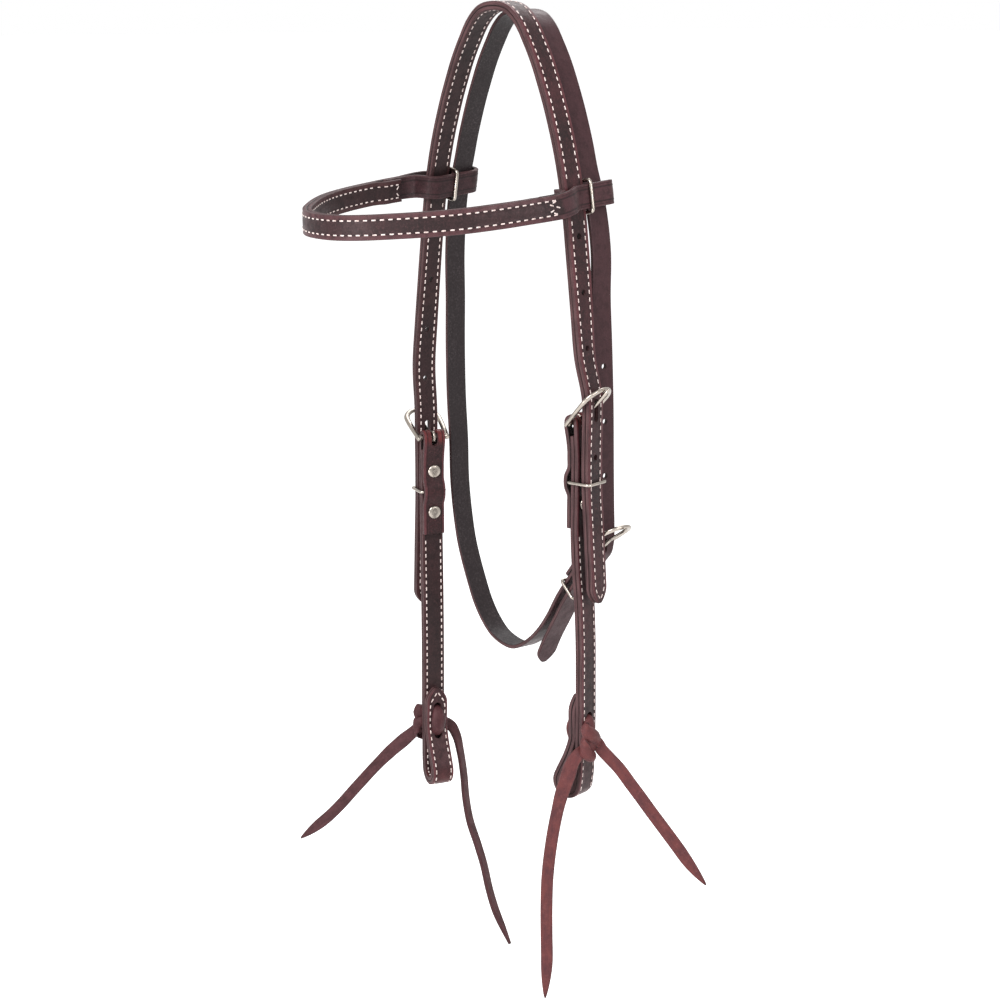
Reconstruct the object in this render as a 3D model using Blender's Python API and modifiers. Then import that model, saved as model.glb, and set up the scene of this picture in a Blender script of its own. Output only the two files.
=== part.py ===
"""Western headstall: doubled and stitched crown and cheeks, browband, throatlatch and tie laces.

Metres, +Z up. The origin is under the top of the crown strap, where it lies on the poll.
The forehead is towards -Y, and the near side, with the throatlatch buckle, is towards +X.
"""
import math

import bmesh
import bpy
from mathutils import Matrix, Vector

# Leather
STRAP_WIDTH = 0.016
PLY = 0.00275
GAP = 0.0003
LAYER_STEP = PLY + GAP
TIP_LENGTH = 0.011
TIP_BLUNT_SHARE = 0.16
TIP_FULLNESS = 0.8
TIP_STATION_SHARES = (0.12, 0.3, 0.55, 1.0)
FISHTAIL_DEPTH = 0.003

# Crown strap
CROWN_HALF_WIDTH = 0.091
CROWN_REACH = 0.2518
CROWN_APEX = PLY + GAP / 2
TWIST_START_DEPTH = 0.150
TWIST_END_ABOVE_BAR = 0.020
ARCH_ABOVE_BAR = 0.030

# Where the arch of the crown runs: half width, and depth under its top, at each point
CROWN_ARCH_SHARES = [
    (0.0, 0.0), (0.177, 0.012), (0.2725, 0.0377), (0.3824, 0.0894), (0.4725, 0.141),
    (0.545, 0.193), (0.611, 0.245), (0.669, 0.2975), (0.721, 0.350), (0.765, 0.403),
    (0.820, 0.488), (0.886, 0.644), (0.933, 0.7796), (0.969, 0.889), (1.0, 1.0),
]

# Billets, the pointed ends of the crown, and their holes
BILLET_STANDOFF = 0.0122
NEAR_BILLET_DROP = 0.122
FAR_BILLET_DROP = 0.1295
BILLET_SHARES = [
    (1.434, -1.0), (1.29, -0.779), (1.156, -0.574), (1.016, -0.369), (0.984, -0.164), (1.0, 0.0),
    (0.99, 0.115),
]
HOLE_PITCH = 0.0364
FIRST_HOLE = 0.0992
HOLE_COUNT = 5
TONGUE_HOLE = 1
HOLE_RADIUS = 0.002
TONGUE_SLOT_HALF_LENGTH = 0.0045
TONGUE_SLOT_RADIUS = 0.0022

# Cheek buckles
BAR_HALF_SPAN = 0.0813
NEAR_BAR_DEPTH = 0.265
FAR_BAR_DEPTH = NEAR_BAR_DEPTH + HOLE_PITCH
CHEEK_YAW = math.radians(14.0)
NEAR_FRAME_TILT = math.radians(42.0)
FAR_FRAME_TILT = math.radians(60.0)
BAR_RADIUS = 0.002
FRAME_INNER_HALF_WIDTH = 0.0088
FRAME_SIDE_WIDTH = 0.0037
FRAME_THICKNESS = 0.0026
FRAME_ARC_CENTRE = 0.0204
FRAME_HEEL = 0.0026
TONGUE_RADIUS = 0.0012
TONGUE_TIP_REACH = 0.0345
TONGUE_TIP_RADIUS_SHARE = 0.6
TONGUE_WRAP_TURN = math.radians(270.0)
# Where the tongue straightens, dips and meets the far side of its frame
TONGUE_SHARES = (0.22, 0.5, 0.8, 1.0)

# Cheek straps
FOLD_RADIUS = BAR_RADIUS + GAP + PLY / 2
CHEEK_FRONT_OUT = 0.0050
LINING_START_DROP = 0.009
FOLD_BACK_DROP = 0.072
UPPER_SCREW_DROP = 0.025
LOWER_SCREW_DROP = 0.0555
KEEPER_DROP = (UPPER_SCREW_DROP + LOWER_SCREW_DROP) / 2
KEEPER_BULGE = 0.0025
KEEPER_BULGE_SHARES = (0.62, 0.25)
FOLD_SPREAD_SHARES = (0.35, 0.2)
FOLD_SPREAD_HEIGHT_SHARE = 0.6
FOLD_SLOT_HALF_LENGTH = 0.0043
FOLD_SLOT_RADIUS = 0.0027
FOLD_SLOT_RISE = 0.001
CHEEK_DROP = 0.2625
CHEEK_BOW = 0.0055
# Depth down the cheek, then how far the near and the far cheek bow outwards there
CHEEK_BOW_SHARES = [
    (0.300, 0.00, 0.00), (0.366, 0.20, -0.09), (0.469, 0.64, -0.20), (0.575, 0.89, -0.24),
    (0.682, 0.96, -0.20), (0.792, 1.00, -0.13), (0.869, 0.93, -0.16),
]
EYE_RADIUS = 0.0056
EYE_BOW_SHARES = (0.69, -0.26)
TURN_JOIN_DROP = 0.223
TURN_END_DROP = 0.189
TURN_STRAIGHT_SHARES = (0.12, 0.86)
TURN_LEAN = math.radians(22.0)
UPPER_LACE_HOLE_DROP = 0.203
LOWER_LACE_HOLE_DROP = 0.225
LACE_HOLE_RADIUS = 0.0031

# Keepers
KEEPER_WIRE_RADIUS = 0.0011
KEEPER_HALF_WIDTH = 0.0096
KEEPER_INNER_OUT = -0.00083
KEEPER_OUTER_OUT = 0.0169
WIRE_CORNER = 0.0025

# Screw posts and caps
SCREW_HEAD_RADIUS = 0.00475
SCREW_HEAD_HEIGHT = 0.0014
SCREW_DOME_SHARES = [(0.0, 1.0), (0.45, 0.96), (0.78, 0.8), (0.95, 0.52), (1.0, 0.2), (1.0, 0.0)]
POST_RADIUS = 0.0025
POST_WALL = 0.0007
CAP_SHANK_RADIUS = POST_RADIUS - POST_WALL - GAP
POST_BORE_FLOOR = 0.0016
SCREW_HOLE_RADIUS = POST_RADIUS + GAP

# Browband
BAND_DEPTH = 0.1198
BAND_SLOPE = 0.097
BAND_REACH = 0.1472
BAND_LEAN = math.radians(9.8)
BAND_LEAN_FADE_SHARES = (0.1, 0.35)
LOOP_OUTER = 0.0798
LOOP_INNER = 0.06695
LOOP_BACK = 0.0255
LOOP_MIDDLE = (LOOP_OUTER + LOOP_INNER) / 2
BAND_SWELL = 0.0107
BAND_HALF_WIDTH = LOOP_OUTER + BAND_SWELL
LOOP_LEVEL_FADE_SHARES = (0.03, 0.07)
# Half of the browband, from the loop to the middle of the forehead
BAND_SHARES = [
    (0.889, -0.008), (0.918, 0.026), (0.962, 0.064), (1.0, 0.150), (0.996, 0.220), (0.975, 0.299),
    (0.923, 0.462), (0.818, 0.632), (0.700, 0.734), (0.541, 0.836), (0.365, 0.930), (0.188, 0.985),
    (0.0, 1.0),
]
# The end that comes back inside, from its cut end to the inner side of the loop
BAND_RETURN_SHARES = [
    (0.9540, 0.246), (0.9625, 0.200), (0.9640, 0.160), (0.952, 0.120), (0.906, 0.089),
    (0.833, 0.0765), (0.768, 0.0595), (0.7425, 0.027),
]
LINING_START_SHARE = 0.157
LINING_RAMP_SHARES = (0.262, 0.325)
BAND_WIRE_RADIUS = 0.0012
BAND_WIRE_HALF_HEIGHT = 0.0105
BAND_WIRE_BACK = 0.0095

# Throatlatch
THROAT_TOP_INSET = 0.0034
THROAT_TOP_BACK = 0.019
THROAT_LOW_BACK = 0.025
THROAT_HALF_WIDTH = 0.084
THROAT_DROP = 0.4463
THROAT_SWAY_START = 0.120
THROAT_SWAY_LENGTH = 0.220
THROAT_POLL_ROWS = 10
THROAT_BAR_OUT = 0.0733
THROAT_BAR_DEPTH = 0.3548
THROAT_END_TILT = math.radians(40.0)
THROAT_FRAME_TILT = math.radians(57.0)
THROAT_FOLD_BACK = 0.034
THROAT_SCREW_DROP = 0.018
THROAT_KEEPER_DROP = 0.0395
THROAT_KEEPER_INNER = -0.00135
THROAT_KEEPER_OUTER = 0.0152
# The near side from its pointed end up to the browband
THROAT_NEAR_SHARES = [
    (0.185, 1.0127), (0.301, 0.9708), (0.443, 0.9290), (0.557, 0.8950), (0.6845, 0.8647),
    (0.802, 0.8364), (0.8785, 0.8192), (0.940, 0.8057), (0.963, 0.7898), (0.967, 0.7686),
    (0.961, 0.7360), (0.957, 0.6917), (0.963, 0.5691), (0.9595, 0.4786), (0.952, 0.4183),
    (0.9595, 0.3437), (0.881, 0.2689),
]
# The far side from the browband down, under the jaw and up to the buckle
THROAT_FAR_SHARES = [
    (-0.866, 0.2690), (-0.945, 0.3750), (-0.962, 0.4560), (-0.985, 0.5220), (-0.998, 0.6210),
    (-0.983, 0.6870), (-0.975, 0.7550), (-0.920, 0.8210), (-0.878, 0.8530), (-0.814, 0.8840),
    (-0.736, 0.9150), (-0.651, 0.9450), (-0.524, 0.9740), (-0.418, 0.9895), (-0.279, 0.9985),
    (-0.127, 1.0), (0.036, 0.9865), (0.208, 0.9605), (0.352, 0.9280), (0.480, 0.8905),
]
THROAT_FIRST_HOLE = 0.092
THROAT_HOLE_PITCH = 0.0374
THROAT_TONGUE_HOLE = 1

# Tie laces
LACE_WIDTH = 0.0085
LACE_THICKNESS = 0.0026
LACE_TAPER = 0.030
LACE_TIP_SHARE = 0.30
LACE_CORE_RADIUS = 0.0024
LACE_PASS_SHARES = (0.03, 0.14, 0.86, 0.97)
LACE_BEND_SHARE = 1.5
KNOT_DROP = 0.222
KNOT_HALF_WIDTH = 0.0085
KNOT_HALF_HEIGHT = 0.013
KNOT_HALF_THICKNESS = 0.00475
LACE_FACING = Vector((0.7678, -0.5999, 0.225))
# Each tail's route, from inside its knot to its tip
LACE_ROUTES = {
    "near_tie_tail_front": [
        (0.0990, -0.0010, -0.4915), (0.0988, -0.0062, -0.4970), (0.0960, -0.0098, -0.4971),
        (0.0929, -0.0127, -0.5036), (0.0899, -0.0146, -0.5119), (0.0870, -0.0159, -0.5209),
        (0.0840, -0.0182, -0.5376), (0.0811, -0.0205, -0.5603), (0.0789, -0.0216, -0.5834),
        (0.0779, -0.0215, -0.6068), (0.0777, -0.0211, -0.6270), (0.0778, -0.0208, -0.6453),
        (0.0777, -0.0214, -0.6603), (0.0777, -0.0222, -0.6740),
    ],
    "near_tie_tail_rear": [
        (0.0975, 0.0060, -0.4850), (0.0990, 0.0105, -0.4862), (0.1020, 0.0140, -0.4895),
        (0.1040, 0.0150, -0.4946), (0.1087, 0.0178, -0.5039), (0.1146, 0.0217, -0.5142),
        (0.1206, 0.0262, -0.5237), (0.1266, 0.0305, -0.5333), (0.1320, 0.0346, -0.5419),
        (0.1371, 0.0385, -0.5501), (0.1418, 0.0422, -0.5579), (0.1465, 0.0464, -0.5667),
        (0.1511, 0.0511, -0.5754), (0.1555, 0.0559, -0.5837),
    ],
    "far_tie_tail_front": [
        (-0.0920, -0.0020, -0.5235), (-0.0937, -0.0049, -0.5247), (-0.0967, -0.0074, -0.5281),
        (-0.1014, -0.0098, -0.5329), (-0.1068, -0.0124, -0.5385), (-0.1125, -0.0149, -0.5442),
        (-0.1204, -0.0196, -0.5536), (-0.1293, -0.0242, -0.5646), (-0.1375, -0.0282, -0.5751),
        (-0.1457, -0.0322, -0.5857), (-0.1552, -0.0360, -0.5975), (-0.1655, -0.0402, -0.6091),
        (-0.1774, -0.0452, -0.6207), (-0.1905, -0.0505, -0.6328),
    ],
    "far_tie_tail_rear": [
        (-0.0905, 0.0070, -0.5225), (-0.0905, 0.0125, -0.5232), (-0.0890, 0.0168, -0.5248),
        (-0.0865, 0.0198, -0.5275), (-0.0838, 0.0218, -0.5333), (-0.0816, 0.0243, -0.5477),
        (-0.0800, 0.0261, -0.5651), (-0.0782, 0.0267, -0.5837), (-0.0750, 0.0282, -0.6019),
        (-0.0698, 0.0312, -0.6190), (-0.0645, 0.0334, -0.6357), (-0.0594, 0.0344, -0.6533),
        (-0.0534, 0.0362, -0.6699), (-0.0463, 0.0377, -0.6820), (-0.0388, 0.0385, -0.6926),
    ],
}
# How far a tail has twisted away from lying flat by its fifth point, and stays so
LACE_TURN_POINTS = 5
LACE_TURNS = {"far_tie_tail_rear": math.radians(62.0)}

# How finely curves and rounds are divided
FINE_STEP = 0.0005
STRAP_STEP = 0.010
STRAP_TURN = math.radians(17.0)
ROUND_SEGMENTS = 12
CORNER_SEGMENTS = 3
BEND_STEPS = 8
TURN_STEPS = 10
WIRE_BEVEL_SEGMENTS = 2
MERGE = 0.00001
OVERRUN = 0.001


def clear_scene():
    for item in list(bpy.data.objects):
        bpy.data.objects.remove(item, do_unlink=True)
    for group in list(bpy.data.collections):
        bpy.data.collections.remove(group)


clear_scene()
PARTS = bpy.data.collections.new("western_headstall")
CUTTERS = bpy.data.collections.new("cutters")
bpy.context.scene.collection.children.link(PARTS)
bpy.context.scene.collection.children.link(CUTTERS)


def make_material(name, colour, roughness, metallic=0.0):
    made = bpy.data.materials.new(name)
    made.use_nodes = True
    shader = made.node_tree.nodes["Principled BSDF"]
    shader.inputs["Base Color"].default_value = (*colour, 1.0)
    shader.inputs["Roughness"].default_value = roughness
    shader.inputs["Metallic"].default_value = metallic
    made.diffuse_color = (*colour, 1.0)
    return made


OXBLOOD = make_material("oxblood_latigo", (0.085, 0.026, 0.028), 0.42)
DARK_LINING = make_material("dark_lining_leather", (0.060, 0.024, 0.026), 0.55)
THROAT_LEATHER = make_material("dark_throat_leather", (0.050, 0.032, 0.034), 0.50)
LACE_LEATHER = make_material("red_lace_leather", (0.20, 0.055, 0.045), 0.60)
STEEL = make_material("warm_stainless_steel", (0.72, 0.69, 0.64), 0.22, 1.0)


def link_part(item, material):
    PARTS.objects.link(item)
    item.data.materials.append(material)
    return item


def link_cutter(item):
    CUTTERS.objects.link(item)
    item.hide_render = True
    item.display_type = "WIRE"
    return item


# Routes

def smooth_rows(rows):
    """A smooth curve through rows of (x, y, z, yaw), as closely spaced rows."""
    places = [Vector(row[:3]) for row in rows]
    lengths = [(b - a).length for a, b in zip(places, places[1:])]
    slopes = []
    for index in range(len(rows)):
        before = max(index - 1, 0)
        after = min(index, len(lengths) - 1)
        slope = []
        for channel in range(len(rows[0])):
            arrive = (rows[before + 1][channel] - rows[before][channel]) / lengths[before]
            leave = (rows[after + 1][channel] - rows[after][channel]) / lengths[after]
            total = lengths[before] + lengths[after]
            slope.append((arrive * lengths[after] + leave * lengths[before]) / total)
        slopes.append(slope)
    fine = []
    for index, span in enumerate(lengths):
        count = max(1, round(span / FINE_STEP))
        for part in range(count):
            t = part / count
            start, end = rows[index], rows[index + 1]
            row = []
            for channel in range(len(start)):
                cubic = (2 * t ** 3 - 3 * t ** 2 + 1) * start[channel]
                cubic += (3 * t ** 2 - 2 * t ** 3) * end[channel]
                cubic += (t ** 3 - 2 * t ** 2 + t) * span * slopes[index][channel]
                cubic += (t ** 3 - t ** 2) * span * slopes[index + 1][channel]
                row.append(cubic)
            fine.append(row)
    fine.append(list(rows[-1]))
    return fine


class Route:
    """A strap's centre line, with its direction across and its outward side at any distance."""

    def __init__(self, rows, across, smooth=True):
        fine = smooth_rows(rows) if smooth else rows
        self.points = [Vector(row[:3]) for row in fine]
        self.rows = fine
        self.across = across
        self.reach = [0.0]
        for a, b in zip(self.points, self.points[1:]):
            self.reach.append(self.reach[-1] + (b - a).length)
        self.length = self.reach[-1]
        self.row_reach = [self.nearest_reach(Vector(row[:3])) for row in rows]

    def nearest_reach(self, place):
        best = min(range(len(self.points)), key=lambda index: (self.points[index] - place).length)
        return self.reach[best]

    def index_at(self, distance):
        for index, reach in enumerate(self.reach):
            if reach >= distance:
                return index
        return len(self.reach) - 1

    def nearest(self, point, start, end):
        """How far along the route, between two distances, it comes closest to a point's line."""
        place, direction = point
        best = min(
            range(self.index_at(start), self.index_at(end)),
            key=lambda index: (self.points[index] - place).cross(direction).length)
        return self.reach[best]

    def frame(self, index):
        before = self.points[max(index - 1, 0)]
        after = self.points[min(index + 1, len(self.points) - 1)]
        along = (after - before).normalized()
        across = self.across(self.rows[index], along)
        across = (across - along * across.dot(along)).normalized()
        return self.points[index], along, across, along.cross(across)

    def stations(self, start, end, step, turn):
        """Indices between two distances, closer together where the strap bends."""
        first, last = self.index_at(start), self.index_at(end)
        kept = [first]
        _, heading, _, _ = self.frame(first)
        for index in range(first + 1, last):
            _, along, _, _ = self.frame(index)
            gone = self.reach[index] - self.reach[kept[-1]]
            if gone >= step or (along.angle(heading) >= turn and gone > PLY / 4):
                kept.append(index)
                heading = along
        if self.reach[last] - self.reach[kept[-1]] < PLY / 4 and len(kept) > 1:
            kept.pop()
        kept.append(last)
        return kept


def yawed(row, along):
    return Vector((-math.sin(row[3]), math.cos(row[3]), 0.0))


def facing_lace(row, along):
    return along.cross(Matrix.Rotation(row[3], 3, "Z") @ LACE_FACING)


def lace_rows(name):
    """A tail's route, with how far it has twisted at each point."""
    turn = LACE_TURNS.get(name, 0.0)
    return [(*point, turn * min(index / LACE_TURN_POINTS, 1.0))
            for index, point in enumerate(LACE_ROUTES[name])]


def tip_width(distance, length, blunt_share):
    """How much of its width a strap has at a distance from a rounded, pointed end."""
    if distance >= length:
        return 1.0
    part = distance / length
    return blunt_share + (1.0 - blunt_share) * math.sin(part * math.pi / 2) ** TIP_FULLNESS


def make_strap(name, route, material, offset=0.0, start=0.0, end=None, start_tip=0.0, end_tip=0.0,
               width=STRAP_WIDTH, thickness=PLY, blunt_share=TIP_BLUNT_SHARE, fishtail=(False, False),
               stops=()):
    """One layer of leather: an edge drawn along its route, then given its thickness."""
    end = route.length if end is None else end
    kept = set(route.stations(start, end, STRAP_STEP, STRAP_TURN))
    kept.update(route.index_at(stop) for stop in stops)
    for part in TIP_STATION_SHARES:
        if start_tip:
            kept.add(route.index_at(start + start_tip * part))
        if end_tip:
            kept.add(route.index_at(end - end_tip * part))
    mesh = bpy.data.meshes.new(name)
    shape = bmesh.new()
    edge = None
    order = sorted(kept)
    for index in order:
        point, along, across, inward = route.frame(index)
        shift = offset(route.reach[index]) if callable(offset) else offset
        half = width / 2
        if start_tip:
            half *= tip_width(route.reach[index] - start, start_tip, blunt_share)
        if end_tip:
            half *= tip_width(end - route.reach[index], end_tip, blunt_share)
        centre = point + inward * shift
        left, right = centre - across * half, centre + across * half
        if edge is None:
            pair = [shape.verts.new(left), shape.verts.new(right)]
            edge = shape.edges.new(pair)
        else:
            made = bmesh.ops.extrude_edge_only(shape, edges=[edge])["geom"]
            ends = [item for item in made if isinstance(item, bmesh.types.BMVert)]
            ends.sort(key=lambda vert: (vert.co - pair[0].co).length)
            edge = shape.edges.get(ends)
            ends[0].co, ends[1].co = left, right
            pair = ends
    if any(fishtail):
        cut_fishtails(shape, route, order, fishtail, width)
    bmesh.ops.recalc_face_normals(shape, faces=shape.faces)
    shape.to_mesh(mesh)
    shape.free()
    item = link_part(bpy.data.objects.new(name, mesh), material)
    shell = item.modifiers.new("thickness", "SOLIDIFY")
    shell.thickness = thickness
    shell.offset = 0.0
    shell.use_even_offset = True
    return item


def cut_fishtails(shape, route, order, fishtail, width):
    """Notches the middle of a strap's end, as a swallow tail."""
    ends = [(order[0], 1.0, fishtail[0]), (order[-1], -1.0, fishtail[1])]
    for index, sense, wanted in ends:
        if not wanted:
            continue
        _, along, _, _ = route.frame(index)
        shape.verts.ensure_lookup_table()
        near = sorted(shape.verts, key=lambda vert: (vert.co - route.points[index]).length)[:2]
        rim = next(item for item in near[0].link_edges if item.other_vert(near[0]) is near[1])
        parts = bmesh.ops.bisect_edges(shape, edges=[rim], cuts=1)["geom_split"]
        middle = next(item for item in parts if isinstance(item, bmesh.types.BMVert))
        middle.co += along * sense * FISHTAIL_DEPTH


# Cutters and Booleans

def add_slot(shape, centre, through, along, radius, half_length, half_depth):
    """A round hole, or a long one with round ends, into a cutter's mesh."""
    side = through.cross(along).normalized()
    made = bmesh.ops.create_cone(
        shape, cap_ends=True, cap_tris=False, segments=ROUND_SEGMENTS,
        radius1=radius, radius2=radius, depth=2 * half_depth)
    turn = Matrix((along, side, along.cross(side))).transposed().to_4x4()
    for vert in made["verts"]:
        stretch = half_length if vert.co.x > 0 else -half_length
        vert.co.x += stretch
        vert.co = turn @ vert.co + centre


def make_cutter(name, slots):
    mesh = bpy.data.meshes.new(name)
    shape = bmesh.new()
    for slot in slots:
        add_slot(shape, *slot)
    shape.to_mesh(mesh)
    shape.free()
    return link_cutter(bpy.data.objects.new(name, mesh))


def cut(item, cutter, operation="DIFFERENCE"):
    modifier = item.modifiers.new(cutter.name, "BOOLEAN")
    modifier.operation = operation
    modifier.solver = "EXACT"
    modifier.object = cutter
    return item


def slot_on(route, distance, radius, half_length, half_depth):
    point, along, _, inward = route.frame(route.index_at(distance))
    return point, inward, along, radius, half_length, half_depth


# Wire and turned pieces

def make_wire(name, points, radius, material, origin, cyclic=False, radii=None):
    """A wire along its points, with the object's own origin on the joint that it turns or slides on."""
    data = bpy.data.curves.new(name, "CURVE")
    data.dimensions = "3D"
    data.bevel_depth = radius
    data.bevel_resolution = WIRE_BEVEL_SEGMENTS
    data.use_fill_caps = not cyclic
    spline = data.splines.new("POLY")
    spline.points.add(len(points) - 1)
    for index, (target, place) in enumerate(zip(spline.points, points)):
        target.co = (*(place - origin), 1.0)
        target.radius = 1.0 if radii is None else radii[index]
    spline.use_cyclic_u = cyclic
    item = bpy.data.objects.new(name, data)
    item.location = origin
    if material is None:
        return link_cutter(item)
    return link_part(item, material)


def as_mesh(item, material):
    """The same piece as a closed mesh, so that it can be cut or joined."""
    depsgraph = bpy.context.evaluated_depsgraph_get()
    mesh = bpy.data.meshes.new_from_object(item.evaluated_get(depsgraph))
    name, place = item.name, item.matrix_world.copy()
    bpy.data.objects.remove(item, do_unlink=True)
    shape = bmesh.new()
    shape.from_mesh(mesh)
    bmesh.ops.remove_doubles(shape, verts=shape.verts, dist=MERGE)
    bmesh.ops.recalc_face_normals(shape, faces=shape.faces)
    shape.to_mesh(mesh)
    shape.free()
    made = bpy.data.objects.new(name, mesh)
    made.matrix_world = place
    mesh.name = name
    mesh.materials.clear()
    return link_cutter(made) if material is None else link_part(made, material)


def rounded_rectangle(centre, side, up, half_side, half_up, corner):
    """The centre line of a wire loop with rounded corners."""
    points = []
    for quarter in range(4):
        sign_side = 1.0 if quarter in (0, 3) else -1.0
        sign_up = 1.0 if quarter in (0, 1) else -1.0
        middle = centre + side * sign_side * (half_side - corner) + up * sign_up * (half_up - corner)
        for part in range(CORNER_SEGMENTS + 1):
            angle = (quarter + part / CORNER_SEGMENTS) * math.pi / 2
            points.append(middle + (side * math.cos(angle) + up * math.sin(angle)) * corner)
    return points


def make_turned(name, profile, place, material):
    """A turned piece: its profile, run from top to bottom, swept round its own Z axis."""
    mesh = bpy.data.meshes.new(name)
    corners = [(radius, 0.0, height) for radius, height in profile]
    mesh.from_pydata(corners, [(i, i + 1) for i in range(len(corners) - 1)], [])
    item = link_part(bpy.data.objects.new(name, mesh), material)
    item.matrix_world = place
    screw = item.modifiers.new("turn", "SCREW")
    screw.axis = "Z"
    screw.steps = ROUND_SEGMENTS
    screw.render_steps = ROUND_SEGMENTS
    screw.use_merge_vertices = True
    screw.merge_threshold = MERGE
    screw.use_normal_calculate = False
    return item


def dome_profile():
    return [(r * SCREW_HEAD_RADIUS, h * SCREW_HEAD_HEIGHT) for r, h in SCREW_DOME_SHARES]


def post_profile(grip):
    """A screw post: domed head, barrel as long as the leather is thick, and a blind bore."""
    bore = POST_RADIUS - POST_WALL
    profile = dome_profile() + [(POST_RADIUS, 0.0), (POST_RADIUS, -grip), (bore, -grip)]
    return profile + [(bore, -POST_BORE_FLOOR), (0.0, -POST_BORE_FLOOR)]


def cap_profile(grip):
    """A screw cap: domed head, and a shank that ends just short of its post's bore floor."""
    shank = grip - POST_BORE_FLOOR
    return dome_profile() + [(CAP_SHANK_RADIUS, 0.0), (CAP_SHANK_RADIUS, -shank), (0.0, -shank)]


def facing_matrix(point, axis, side):
    """A place whose Z is the axis and whose X is the side direction."""
    turn = Matrix((side, axis.cross(side), axis)).transposed().to_4x4()
    return Matrix.Translation(point) @ turn


class Place:
    """A buckle's own directions: out from the strap, back along the heel bar, and up."""

    def __init__(self, bar, out, back, up):
        self.bar = bar
        self.out = out
        self.back = back
        self.up = up

    def at(self, out, back, up):
        return self.bar + self.out * out + self.back * back + self.up * up


def tongue_line(place, tilt):
    """Where the straight part of a buckle's tongue runs, as a point and a direction."""
    reach = place.out * math.sin(tilt) + place.up * math.cos(tilt)
    face = place.out * math.cos(tilt) - place.up * math.sin(tilt)
    return place.bar + face * (BAR_RADIUS + GAP + TONGUE_RADIUS), reach


def make_buckle(prefix, place, tilt):
    """A horseshoe buckle with a round heel bar, and the wire tongue that is wrapped round it."""
    reach = place.out * math.sin(tilt) + place.up * math.cos(tilt)
    face = place.out * math.cos(tilt) - place.up * math.sin(tilt)
    side = reach.cross(face)
    inner = FRAME_INNER_HALF_WIDTH
    outer = inner + FRAME_SIDE_WIDTH
    outline = [(-outer, -FRAME_HEEL / 2), (-outer + FRAME_SIDE_WIDTH / 4, -FRAME_HEEL)]
    outline += [(-inner - FRAME_SIDE_WIDTH / 4, -FRAME_HEEL), (-inner, -FRAME_HEEL / 2)]
    steps = ROUND_SEGMENTS - 2
    for part in range(steps + 1):
        angle = math.pi * (1 - part / steps)
        outline.append((inner * math.cos(angle), FRAME_ARC_CENTRE + inner * math.sin(angle)))
    outline += [(inner, -FRAME_HEEL / 2), (inner + FRAME_SIDE_WIDTH / 4, -FRAME_HEEL)]
    outline += [(outer - FRAME_SIDE_WIDTH / 4, -FRAME_HEEL), (outer, -FRAME_HEEL / 2)]
    for part in range(steps + 1):
        angle = math.pi * part / steps
        outline.append((outer * math.cos(angle), FRAME_ARC_CENTRE + outer * math.sin(angle)))
    data = bpy.data.curves.new(prefix + "buckle_frame", "CURVE")
    data.dimensions = "2D"
    data.fill_mode = "BOTH"
    data.extrude = FRAME_THICKNESS / 2
    spline = data.splines.new("POLY")
    spline.points.add(len(outline) - 1)
    for target, corner in zip(spline.points, outline):
        target.co = (corner[0], corner[1], 0.0, 1.0)
    spline.use_cyclic_u = True
    flat = bpy.data.objects.new(prefix + "buckle_frame", data)
    PARTS.objects.link(flat)
    flat.matrix_world = Matrix.Translation(place.bar) @ Matrix((side, reach, face)).transposed().to_4x4()
    bpy.context.view_layer.update()
    frame = as_mesh(flat, STEEL)
    bar_mesh = bpy.data.meshes.new(prefix + "heel_bar")
    shape = bmesh.new()
    bmesh.ops.create_cone(
        shape, cap_ends=True, segments=ROUND_SEGMENTS, radius1=BAR_RADIUS, radius2=BAR_RADIUS,
        depth=2 * inner + FRAME_SIDE_WIDTH)
    shape.to_mesh(bar_mesh)
    shape.free()
    bar = link_cutter(bpy.data.objects.new(prefix + "heel_bar", bar_mesh))
    bar.matrix_world = facing_matrix(place.bar, side, reach)
    cut(frame, bar, "UNION")

    wrap = BAR_RADIUS + GAP + TONGUE_RADIUS
    rest = FRAME_THICKNESS / 2 + GAP + TONGUE_RADIUS
    arc_middle = FRAME_ARC_CENTRE + inner + FRAME_SIDE_WIDTH / 2
    line = []
    for part in range(TURN_STEPS + 1):
        angle = 2 * math.pi - part / TURN_STEPS * TONGUE_WRAP_TURN
        line.append((wrap * math.cos(angle), wrap * math.sin(angle)))
    dip = (wrap + rest) / 2 - TONGUE_RADIUS / 2
    for share, height in zip(TONGUE_SHARES, (wrap, dip, rest, rest)):
        line.append((arc_middle * share, height))
    line.append((TONGUE_TIP_REACH, rest - TONGUE_RADIUS / 4))
    points = [place.bar + reach * s + face * n for s, n in line]
    radii = [1.0] * (len(points) - 1) + [TONGUE_TIP_RADIUS_SHARE]
    make_wire(prefix + "buckle_tongue", points, TONGUE_RADIUS, STEEL, place.bar, radii=radii)


# Crown strap, from the near billet's tip over the poll to the far billet's tip

def side_place(sign):
    depth = NEAR_BAR_DEPTH if sign > 0 else FAR_BAR_DEPTH
    out = Vector((sign * math.cos(CHEEK_YAW), math.sin(CHEEK_YAW), 0.0))
    back = Vector((-sign * math.sin(CHEEK_YAW), math.cos(CHEEK_YAW), 0.0))
    return Place(Vector((sign * BAR_HALF_SPAN, 0.0, -depth)), out, back, Vector((0.0, 0.0, 1.0)))


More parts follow.
